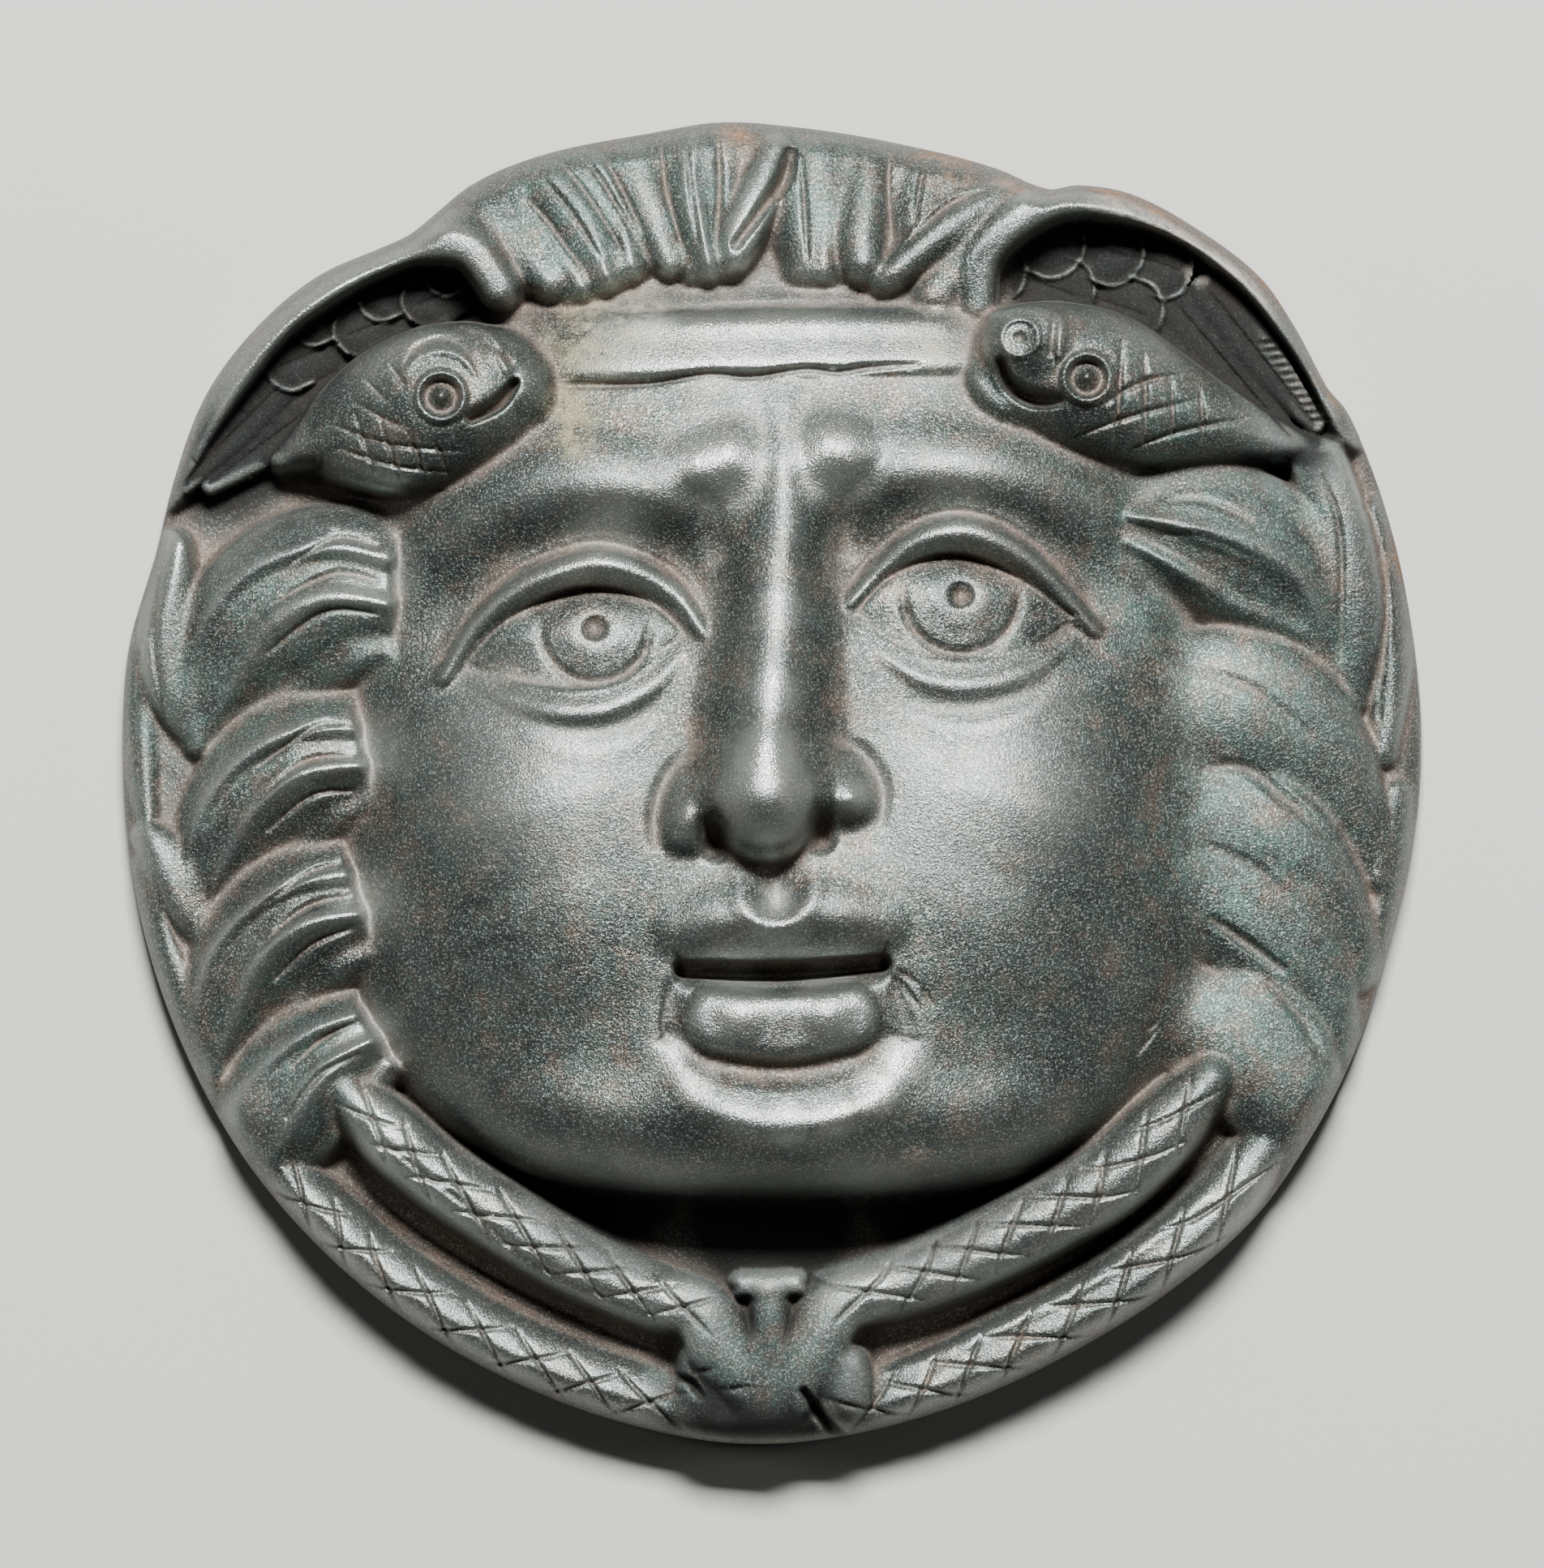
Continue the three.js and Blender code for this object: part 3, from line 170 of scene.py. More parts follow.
# Cross sections, from 1 in the middle of a stroke to 0 at its edge
def round_section(q):
    return np.sqrt(1 - q * q)


def soft_section(q):
    return (1 - q * q) ** 2


def blunt_section(q):
    return 1 - q**6


def leaf_section(q):
    return 1 - q**4


class Relief:
    """Heights of the carving in shares, on a square raster whose rows run up the face."""

    def __init__(self, count):
        self.count = count
        self.step = 2 * RASTER_HALF / count
        self.places = (np.arange(count) + 0.5) * self.step - RASTER_HALF
        x, y = np.meshgrid(self.places, self.places)
        self.reach = np.hypot(x, y) / outline_radius(np.arctan2(y, x))
        self.z = self.bare_height(x, y)

    def bare_height(self, x, y):
        """The bed that the hair, snakes and wings lie on, and the dome of the face."""
        bed = BED_MIDDLE + (BED_EDGE - BED_MIDDLE) * np.minimum(self.reach, BED_REACH) ** 2
        turn = np.abs(x - FACE_MIDDLE) / curve_through(FACE_HALF_WIDTH, y)
        fullness = (1 - np.minimum(turn, 1) ** FACE_FULLNESS) ** FACE_TURN
        face = FACE_EDGE + (curve_through(FACE_PROFILE, y) - FACE_EDGE) * fullness
        covered = (turn < 1) & (y > FACE_PROFILE[0][0]) & (y < FACE_PROFILE[-1][0])
        return np.where(covered, soft_max(bed, face, FACE_BLEND), bed)

    def span_of(self, low, high):
        """The raster rows or columns between two places."""
        first = int(np.clip((low + RASTER_HALF) / self.step - 1, 0, self.count))
        last = int(np.clip((high + RASTER_HALF) / self.step + 1, 0, self.count))
        return slice(first, max(last, first + 1))

    def lay(self, points):
        """Where the places near a stroke lie on it, as window-sized arrays."""
        line = smooth_line(points)
        reach = line[:, 2].max()
        rows = self.span_of(line[:, 1].min() - reach, line[:, 1].max() + reach)
        columns = self.span_of(line[:, 0].min() - reach, line[:, 0].max() + reach)
        shape = (rows.stop - rows.start, columns.stop - columns.start)
        at = SimpleNamespace(
            window=(rows, columns), away=np.ones(shape), across=np.zeros(shape),
            before=np.zeros(shape), along=np.zeros(shape), height=np.zeros(shape),
        )
        segments = len(line) - 1
        for i in range(segments):
            (ax, ay, aw, ah), (bx, by, bw, bh) = line[i], line[i + 1]
            near = max(aw, bw)
            up = self.span_of(min(ay, by) - near, max(ay, by) + near)
            over = self.span_of(min(ax, bx) - near, max(ax, bx) + near)
            part = (slice(up.start - rows.start, up.stop - rows.start),
                    slice(over.start - columns.start, over.stop - columns.start))
            x = self.places[over][None, :] - ax
            y = self.places[up][:, None] - ay
            dx, dy = bx - ax, by - ay
            length = math.hypot(dx, dy) or 1.0
            forward = (x * dx + y * dy) / length
            t = np.clip(forward / length, 0, 1)
            half_width = aw + (bw - aw) * t
            away = np.hypot(x - dx * t, y - dy * t) / half_width
            closer = away < at.away[part]
            at.away[part][closer] = away[closer]
            side = (dx * y - dy * x) / length / half_width
            square = (i == 0) & (forward < 0)
            at.across[part][closer] = np.where(square, side, np.copysign(away, side))[closer]
            at.along[part][closer] = ((i + t) / segments)[closer]
            at.height[part][closer] = (ah + (bh - ah) * t)[closer]
            at.before[part][closer] = np.maximum(-forward, 0)[closer] if i == 0 else 0
        return at

    def swell(self, points, section=soft_section):
        """A swelling, or a cut where its height is negative, added to what is there."""
        at = self.lay(points)
        self.z[at.window] += at.height * section(at.away)

    def roll(self, points, fall, blend=1.2, section=round_section):
        """A roll laid on top of what is there: its crown stands at the given heights."""
        at = self.lay(points)
        z = self.z[at.window]
        laid = soft_max(z, at.height - fall * (1 - section(at.away)), blend)
        self.z[at.window] = np.where(at.away < 1, laid, z)

    def lock(self, points, strands, depth, fall, blend=1.0, wander=0.0, combed=1.6, end=1.6):
        """A broad roll of hair that starts square at the face and is combed into strands."""
        at = self.lay(points)
        z = self.z[at.window]
        away = np.where(at.before > 0, np.abs(at.across), at.away)
        dome = np.maximum(1 - away * away, 0) ** LOCK_TURN
        wave = wander * np.sin(STRAND_WAVE * at.along + STRAND_SLANT * at.across)
        phase = (at.across + 1) * math.pi * strands + wave
        ridges = np.cos(phase) + FINER_STRANDS.share * np.cos(FINER_STRANDS.pitch * phase + 1)
        comb = ridges * dome * np.clip(combed * (1 - at.along), 0, 1)
        drop = fall * (1 - np.sqrt(1 - np.minimum(at.before / end, 1) ** 2))
        laid = soft_max(z, at.height - fall * (1 - dome) - depth * comb - drop, blend)
        self.z[at.window] = np.where((at.away < 1) & (at.before < end), laid, z)

    def cuts(self, lines, half_width, depth):
        """Straight chisel cuts from (x, y) to (x, y)."""
        for x0, y0, x1, y1 in lines:
            middle = ((x0 + x1) / 2, (y0 + y1) / 2, half_width, depth)
            end = (half_width * CUT_END.width, depth * CUT_END.depth)
            self.swell([(x0, y0, *end), middle, (x1, y1, *end)])

    def trail(self, places, half_width, depth):
        """A chisel line through (x, y) places, fading at both ends."""
        last = len(places) - 1
        fades = [FADED_END if i in (0, last) else 1 for i in range(last + 1)]
        self.swell([(x, y, half_width * (0.5 + fade / 2), depth * fade)
                    for (x, y), fade in zip(places, fades)])

    def soften(self, radius):
        """Rubs the whole carving smooth over a radius in shares."""
        self.z = blurred(self.z, radius / self.step)

    def rub(self, x, y, half_width, half_height, radius):
        """Rubs one oval place smooth over a radius in shares, fading out to its edge."""
        rows = self.span_of(y - half_height - 3 * radius, y + half_height + 3 * radius)
        columns = self.span_of(x - half_width - 3 * radius, x + half_width + 3 * radius)
        away = np.hypot((self.places[columns][None, :] - x) / half_width,
                        (self.places[rows][:, None] - y) / half_height)
        share = soft_section(np.minimum(away, 1))
        z = self.z[rows, columns]
        self.z[rows, columns] = z + (blurred(z, radius / self.step) - z) * share

    def sink(self, corners, level, blend=0.8):
        """Cuts the inside of a closed line of (x, y) corners down to a level."""
        xs, ys = np.array(corners, float).T
        rows = self.span_of(ys.min() - 3, ys.max() + 3)
        columns = self.span_of(xs.min() - 3, xs.max() + 3)
        x, y = self.places[columns][None, :], self.places[rows][:, None]
        inside = np.zeros(np.broadcast_shapes(x.shape, y.shape), bool)
        for x0, y0, x1, y1 in zip(xs, ys, np.roll(xs, -1), np.roll(ys, -1)):
            crossed = ((y0 > y) != (y1 > y)) & (x < x0 + (y - y0) * (x1 - x0) / (y1 - y0 or 1))
            inside ^= crossed
        share = blurred(inside.astype(float), blend / self.step)
        z = self.z[rows, columns]
        self.z[rows, columns] = z + (np.minimum(z, level) - z) * share


def blurred(z, radius):
    """Heights averaged over about a radius in raster steps, by three box passes each way."""
    half = max(int(round(radius * BOX_SHARE)), 1)
    for axis in (0, 1, 0, 1, 0, 1):
        padding = [(half + 1, half) if k == axis else (0, 0) for k in (0, 1)]
        total = np.cumsum(np.pad(z, padding, mode="edge"), axis=axis)
        size = z.shape[axis]
        upper = np.take(total, range(2 * half + 1, 2 * half + 1 + size), axis=axis)
        lower = np.take(total, range(0, size), axis=axis)
        z = (upper - lower) / (2 * half + 1)
    return z


def ring_of(x, y, radius, half_width, height, corners=12):
    """The points of a stroke that goes once round a middle."""
    angles = [i / corners * math.tau for i in range(corners + 1)]
    return [(x + radius * math.cos(a), y + radius * math.sin(a), half_width, height)
            for a in angles]


def tapered(places, half_width, height, lift=0.0):
    """A stroke through (x, y) places that thins out to both its ends."""
    last = len(places) - 1
    arches = [math.sin(math.pi * i / last) ** THINNING for i in range(last + 1)]
    fades = [THIN_END + (1 - THIN_END) * arch for arch in arches]
    return [(x, y + lift, half_width * fade, height * fade) for (x, y), fade in zip(places, fades)]


# Forms of the face
def carve_face(relief):
    # Cheeks
    relief.swell([(-36, -4, 25, 3.8), (-33, -14, 24, 2.4)])
    relief.swell([(38, -4, 25, 3.8), (35, -14, 24, 2.4)])
    # Eye sockets
    relief.swell([(-46, 24, 16, -3), (-30, 27, 19, -4.2), (-16, 30, 13, -5)])
    relief.swell([(14, 34, 12, -5), (29, 31, 19, -4.2), (46, 29, 15, -3)])
    # Brows
    relief.swell([(-54, 33, 10, 0.8), (-42, 41, 11, 2), (-29, 45.5, 10, 3), (-18, 45, 9, 2.4),
                  (-10, 46, 8, 0.4)])
    relief.swell([(13, 48, 8, 0.4), (23, 48, 9, 2.2), (34, 46.5, 10, 2.8), (46, 42.5, 11, 1.8),
                  (54, 37, 9, 0.8)])
    # Frown: two knots and the thin fold between them
    relief.swell([(-10, 48.4, 7.6, 2), (-6.4, 49.6, 7.4, 2.2)])
    relief.swell([(8.8, 51, 7.4, 2.4), (10.8, 51, 7.4, 2.2)])
    relief.swell([(-9.6, 49, 5, 0.7), (-7, 50.4, 5, 0.7)])
    relief.swell([(8.6, 52, 5, 0.7), (10.6, 51.4, 5, 0.7)])
    relief.swell([(1.4, 62, 4, 0.2), (1.6, 50, 3.2, 1.2), (1.8, 38, 4.4, 0.8)])
    relief.swell([(10.6, 36, 3.4, -1), (12.4, 43, 3.4, -1.4), (17, 49.5, 2.4, -0.3)])
    relief.swell([(-8, 35, 3.4, -1), (-10.4, 41, 3.6, -1.3), (-14, 46, 2.4, -0.3)])


# An eye is set by its opening, between the edges of its two lids, and the middle of its iris
LEFT_EYE = SimpleNamespace(
    crease=[(-50, 19), (-45, 27), (-38, 32.8), (-30, 35.8), (-25, 36.2), (-19, 34.4), (-14, 31),
            (-10.6, 26)],
    upper=[(-47, 18.4), (-40, 25.4), (-33, 29.4), (-26, 30.4), (-19, 28.4), (-13.4, 23)],
    lower=[(-47, 18.4), (-40, 15.6), (-33, 14.2), (-27, 14.2), (-21, 16.2), (-13.4, 23)],
    lid_ridge=[(-46, 15.6), (-38, 12.4), (-30, 11), (-24, 11.8), (-18, 15), (-13.6, 20)],
    bag=[(-37, 9), (-28, 7.8), (-21, 9.6), (-16.4, 13.6)],
    iris=(-26.8, 23.6),
    iris_radius=8.2,
    ball=(-29.5, 21),
    corner_heights=(30.6, 37.8),
)
RIGHT_EYE = SimpleNamespace(
    crease=[(12, 30.6), (17, 36), (22, 39.6), (28, 41), (34, 39.6), (40, 36), (44, 32), (49, 26.4)],
    upper=[(12.6, 26), (17, 31), (22, 34.4), (28, 35.4), (34, 33.8), (40, 30), (47, 25.6)],
    lower=[(12.6, 26), (17, 21.8), (22, 19.2), (28, 18.2), (34, 18.7), (40, 21.2), (47, 25.6)],
    lid_ridge=[(15.6, 20.4), (22, 16.2), (28, 15), (34, 15.6), (40, 17.8), (46, 21.6)],
    bag=[(20, 12.8), (29, 11.2), (38, 13.2), (43, 16.4)],
    iris=(28.6, 28.6),
    iris_radius=8.8,
    ball=(29.5, 27),
    corner_heights=(37.8, 30.8),
)

# The ball of the eye bulges between its corners and drops into the shade of the upper lid
EYE_BULGE = 4.6
EYE_HALF_WIDTH = 17.5
SHADE_DROP = 6.5
SHADE_REACH = 9.0
IRIS_GROOVE = SimpleNamespace(half_width=1.1, depth=1.1, blend=5.0, above=2.0)
IRIS_RISE = 0.6
UPPER_LID_EDGE = 1.0
LOWER_LID_EDGE = 0.8


def carve_lids(relief, eye):
    """The upper lid under its crease, the edge of the lower lid and the bag under it."""
    relief.swell([(*eye.ball, 17, 3.4)])
    relief.swell(tapered(eye.crease, 4.6, 6.4, -3))
    relief.swell(tapered(eye.lid_ridge, 2.6, 1.2))
    relief.swell(tapered(eye.bag, 2.4, -0.5))
    relief.swell(tapered(eye.bag, 3, 0.4, -3))


def open_eye(relief, eye):
    """Cuts the almond of the eye down to its ball, which stands in the shade of the upper lid."""
    rows = relief.span_of(min(y for _, y in eye.lower), max(y for _, y in eye.upper))
    columns = relief.span_of(eye.upper[0][0], eye.upper[-1][0])
    x = relief.places[columns][None, :]
    y = relief.places[rows][:, None]
    above = curve_through(eye.upper, x) - y
    below = y - curve_through(eye.lower, x)
    from_iris = np.hypot(x - eye.iris[0], y - eye.iris[1])
    ball = np.interp(x, (eye.upper[0][0], eye.upper[-1][0]), eye.corner_heights)
    ball = ball + EYE_BULGE * (1 - ((x - eye.ball[0]) / EYE_HALF_WIDTH) ** 2)
    ball = ball - SHADE_DROP * np.maximum((y - eye.ball[1]) / SHADE_REACH, 0) ** 2
    lower_half = np.clip((eye.iris[1] + IRIS_GROOVE.above - y) / IRIS_GROOVE.blend, 0, 1)
    from_groove = np.abs(from_iris - eye.iris_radius)
    groove = np.clip(1 - from_groove / IRIS_GROOVE.half_width, 0, 1) * lower_half
    rise = IRIS_RISE * np.clip(1 - from_iris / eye.iris_radius, 0, 1)
    ball = ball - IRIS_GROOVE.depth * groove + rise
    inside = np.clip(np.minimum(above / UPPER_LID_EDGE, below / LOWER_LID_EDGE), 0, 1)
    inside = inside * inside * (3 - 2 * inside)
    z = relief.z[rows, columns]
    relief.z[rows, columns] = z + (ball - z) * inside


def chase_eye(relief, eye):
    """The opened eye, its crease cut deeper, and the drilled pupil in its low ring."""
    open_eye(relief, eye)
    relief.trail(eye.crease, 1.3, -1.6)
    x, y = eye.iris
    relief.swell(ring_of(x, y, 4, 1.6, 0.15))
    relief.swell([(x, y, 2.5, -2.6)])


def carve_nose(relief):
    relief.swell([(1.8, 46, 8, 1.4), (1.4, 36, 9, 4.8), (0.6, 22, 10.8, 9.6), (-0.4, 10, 12.4, 13),
                  (-1, 1, 11.6, 14)])
    # Wings of the nose, joined to its ball, and the bridge between the nostrils
    relief.swell([(-9.4, 2.4, 5.6, 2.8), (-12, -4, 5.6, 5.6), (-13, -7.4, 4.4, 4.6)])
    relief.swell([(8.4, 2.4, 5.6, 2.8), (11.2, -2, 5.6, 6.6)])
    relief.swell([(-7, -3, 5, 4), (5.4, -2, 5, 4)])
    relief.roll([(-0.8, -4.6, 7.4, 53)], 8, 5)
    relief.roll([(-0.9, 4, 5.4, 58.6), (-1, -1.6, 7.6, 60)], 9, 6)
    relief.rub(0, 20, 15, 34, 2.6)
    relief.rub(-0.6, -1, 13, 12, 2.6)
    relief.swell([(-11.4, 5.6, 1.6, -0.6), (-15.6, 1.4, 1.8, -1.2), (-17.6, -4.4, 1.8, -1.2),
                  (-17.6, -9, 1.4, -0.6)])
    relief.swell([(9.6, 6.6, 1.6, -0.6), (14, 4.4, 1.8, -1.2), (16.6, -0.6, 1.8, -1.2),
                  (16.4, -6, 1.4, -0.6)])
    # Nostrils
    relief.swell([(-9.6, -6, 1.8, -1.6), (-8.4, -9.4, 2.8, -5)])
    relief.swell([(7.8, -5, 1.8, -1.6), (7.4, -8.2, 2.8, -5)])


def carve_mouth(relief):
    # The mouth stands forward of the cheeks, and its upper lip turns down from the crest
    relief.swell([(-7, -19, 13, 1.8), (9, -18, 13, 1.8)])
    relief.swell([(-14, -21.8, 5.4, 1.4), (-6, -20.2, 6.8, 3), (0.8, -21.4, 6.6, 2.7),
                  (8, -19.6, 6.8, 3), (16.8, -20.8, 5.4, 1.4)])
    relief.swell([(-13, -27.4, 3, -0.5), (1, -27.8, 3.2, -0.8), (16, -26.6, 3, -0.5)])
    # Groove under the nose inside its rim
    relief.swell([(0.9, -13.6, 3.8, -1.4), (0.8, -17.6, 3.8, -1.8)])
    relief.swell([(-4.9, -13, 2, 0.5), (-4.7, -17.6, 2, 0.9), (-2.6, -20.6, 2, 1),
                  (0.8, -21.4, 2, 1), (4.2, -20.2, 2, 1), (6.2, -17, 2, 0.9), (6.6, -12.8, 2, 0.5)])
    # Lower lip in its hollow, and the groove under it
    relief.swell([(-15, -30.6, 2, -0.9), (-15.8, -38, 2, -0.7)])
    relief.swell([(18.6, -30, 2, -0.9), (20.4, -37.4, 2, -0.7)])
    relief.swell([(-8.4, -35.8, 5.4, 3.4), (1.4, -36.6, 5.8, 3.8),
                  (11.6, -35.4, 5.4, 3.4)], leaf_section)
    relief.swell([(-5, -35.4, 5, 1.2)])
    relief.swell([(8.4, -35, 5, 1.2)])
    relief.swell([(-14.6, -38.6, 2.4, -0.6), (-8.5, -42.2, 3, -1.4), (1, -43.8, 3.2, -1.9),
                  (10, -42.4, 3, -1.4), (18, -38.4, 2.2, -0.6)])
    # Hollow and crest of the chin
    relief.swell([(-17, -41, 10, 0.6), (-7, -47.4, 11, 2), (3, -49, 11.5, 2.4), (13, -47.4, 11, 2),
                  (22, -40.6, 10, 0.6)])
    relief.swell([(-9, -44.6, 6, -0.7), (2, -46.4, 6, -1), (13, -44.2, 6, -0.7)])
    relief.swell([(-16, -41.6, 4, 0.5), (-8.4, -49, 4.6, 1), (2, -52.2, 4.8, 1.3),
                  (12.8, -49.2, 4.6, 1), (20.4, -42.8, 4, 0.5)])
    relief.swell([(2.2, -46.8, 5, 0.5)])
    relief.rub(1, -22, 20, 12, 0.9)


def chase_mouth(relief):
    # Open mouth, square at its corners
    relief.swell([(-13.4, -28, 1.7, -5), (1, -28.2, 1.8, -6.5), (16.4, -27.2, 1.7, -5)],
                 blunt_section)
    relief.swell([(-13, -29.2, 2.4, -2), (1, -29.8, 2.8, -3.2), (16, -28.4, 2.4, -2)])
    relief.swell([(-14.6, -25.6, 0.7, -0.6), (-14.2, -28.4, 1.1, -2)])
    relief.swell([(17.4, -24.4, 0.7, -0.6), (17.2, -27.6, 1.1, -2)])
    relief.trail([(-15.8, -31.4), (-16.6, -36), (-16, -38), (-17.6, -39.4)], 0.6, -0.5)
    relief.cuts([(19, -28, 22.4, -30.6), (22.4, -30.6, 24.4, -33.6), (19.6, -30, 22.4, -34),
                 (18.5, -38, 22.5, -39)], 0.6, -0.6)


# Hair
def carve_top_hair(relief):
    # The mass of hair over the forehead, then its tufts from their square ends upwards
    tuft = dict(fall=6, blend=2.4, wander=0.8, combed=3, end=3)
    relief.roll([(-46, 84, 9, 22), (-28, 89, 12, 24), (0, 91, 13, 24), (22, 89, 12, 24),
                 (38, 84, 9, 25)], 9, 3)
    relief.roll([(-33.6, 76.6, 3, 29), (-39, 82, 4.4, 27), (-45, 88, 4.4, 24),
                 (-49, 93, 3, 19)], 5, 2)
    relief.lock([(-25.4, 77.6, 8.4, 30), (-28.6, 84.6, 10, 28.5), (-33, 91.6, 10, 26),
                 (-37, 99, 8, 21)], 3, 0.9, **tuft)
    relief.roll([(-15.6, 79.4, 2.4, 29), (-17.6, 85, 3.4, 28.5), (-20.4, 92, 3.6, 26),
                 (-22.6, 101, 3, 21)], 4, 2)
    relief.lock([(-9, 79.6, 5.4, 31), (-10.6, 86, 7, 29.5), (-11, 93, 7, 26.5), (-9.6, 103, 6, 21)],
                2.5, 0.9, **tuft)
    relief.roll([(-5.4, 80.6, 2.6, 32), (-4.6, 83.6, 3.4, 32), (-2.4, 89, 3.2, 30),
                 (0.6, 97, 2.6, 25)], 4, 1.6)
    relief.lock([(7, 78.6, 5.6, 29), (6.4, 86, 6.6, 28), (6.6, 93, 6.4, 26), (7.6, 102, 5, 21)],
                1.5, 0.4, **tuft)
    relief.roll([(13.8, 79.6, 3.4, 32), (13.6, 84, 3.8, 30.5), (14.4, 91, 3.8, 27),
                 (15.4, 100, 3, 21)], 5, 1.6)
    relief.lock([(21, 81, 5, 28), (23.4, 88, 6.6, 27), (27.6, 98, 6, 21)], 2.5, 0.5, **tuft)
    relief.roll([(16.4, 76.4, 2, 31), (19, 78.2, 2.6, 32), (26, 84, 3.4, 31.5), (34, 88.6, 3.4, 28),
                 (41, 90.6, 2.4, 22)], 5, 1.6)
    relief.roll([(25, 74.4, 4, 30), (31, 81.4, 5.4, 30)], 5, 2)
    relief.rub(-30, 88, 15, 15, 1.6)
    relief.rub(8, 90, 8, 13, 1.6)
    relief.rub(26, 90, 10, 11, 1.6)


def chase_top_hair(relief):
    # Parting with its punched hole, and finer strands
    relief.swell([(2.8, 96, 1.6, -2.4), (1.8, 92.4, 1.8, -5), (-1.4, 87.6, 1.5, -3.6),
                  (-5.4, 82, 1.2, -2)])
    relief.trail([(20, 81.6), (27, 88), (34, 90.8)], 1.1, -2)
    strands = [
        [(-37, 89), (-34, 85.6), (-29, 78.6)], [(-36, 93.4), (-31, 87.6), (-26, 80)],
        [(-33, 95.6), (-28.4, 90), (-23, 81.6)], [(-30, 97), (-26, 92), (-21, 83.4)],
        [(-27, 97.6), (-23.6, 92), (-19.6, 84)], [(-17, 98), (-16, 90), (-13.6, 82)],
        [(-13, 99.4), (-12.4, 91), (-11, 82)], [(-8.4, 99), (-8, 92), (-8.4, 83)],
        [(4.4, 96), (5, 88), (5.4, 80)], [(18, 97), (17.6, 90), (18.4, 83)],
        [(24, 97.4), (22.6, 91), (21.6, 85)],
    ]
    for strand in strands:
        relief.trail(strand, 0.8, -1)
    relief.swell([(5, 99.4, 1.8, -2.4)])


def carve_left_hair(relief):
    # Outer leaves of hair along the rim
    relief.roll([(-97, 22, 2.6, 12), (-97.6, 8, 3.4, 12), (-96, -5, 2, 12)], 3, 2)
    relief.roll([(-92, 36, 3.4, 17), (-92.6, 27, 5, 17.5), (-91.5, 16, 5, 16.5),
                 (-88, 6, 2.4, 14)], 5, 2)
    relief.roll([(-96, -8, 2.8, 14), (-92.8, -12, 4.4, 15.5), (-89.6, -19, 3.8, 15.5),
                 (-86.4, -25, 2, 14)], 5, 2)
    relief.roll([(-97, -13, 2.6, 12.5), (-95, -23, 4.4, 13.5), (-91.6, -33, 4.8, 14),
                 (-86, -46, 3.6, 13.5)], 4, 2)
    # Four locks from the temple to the jaw, each over the next one down
    combed = dict(strands=2.6, depth=1.5, fall=9.5, blend=3, wander=0.9)
    relief.lock([(-61.6, -38.6, 8, 25), (-68, -43, 10.4, 25), (-75, -50.6, 10.2, 21.5),
                 (-79.4, -58, 7, 16.5)], **combed)
    relief.lock([(-63.6, -18.8, 11.6, 26), (-72, -21.6, 11.8, 25.5), (-79.4, -28, 10.2, 21.5),
                 (-84, -37, 6.6, 17), (-86, -44, 3, 14)], **combed)
    relief.lock([(-63, 3.8, 10.8, 26), (-72, 1.6, 12.2, 25.5), (-80, -4.6, 10.4, 21.5),
                 (-86, -14, 6.2, 17), (-87, -21, 3, 14)], **combed)
    relief.lock([(-58.6, 28.6, 12.6, 27.5), (-68, 28.6, 14.4, 27), (-77, 24.4, 13, 24),
                 (-84, 15.4, 8.6, 19), (-88, 6, 3.4, 14)], **combed)


def chase_left_hair(relief):
    relief.trail([(-93.6, 32), (-94.6, 22), (-93, 10)], 0.8, -0.7)
    relief.trail([(-96, 26), (-98, 12), (-97, 0)], 0.7, -0.6)
    relief.trail([(-94.6, -14), (-92, -22), (-89, -28)], 0.7, -0.7)
    strands = [
        [(-60, 36), (-66, 37.4), (-73, 34)], [(-60, 31), (-67, 32), (-76, 27.4)],
        [(-60, 26), (-68, 26.4), (-77, 20)], [(-64, 9), (-70, 8.6), (-78, 3)],
        [(-64, 4), (-71, 3.4), (-79, -3)], [(-64, -1), (-70, -1.6), (-77, -7)],
        [(-64, -12), (-70, -13.4), (-77, -18)], [(-64, -17), (-71, -18.8), (-78, -25)],
        [(-64, -22), (-70, -24.4), (-76, -30)], [(-63, -36), (-68, -38.4), (-73, -43)],
        [(-63, -41), (-69, -44.4), (-74, -51)],
    ]
    for strand in strands:
        relief.trail(strand, 0.9, -1.3)


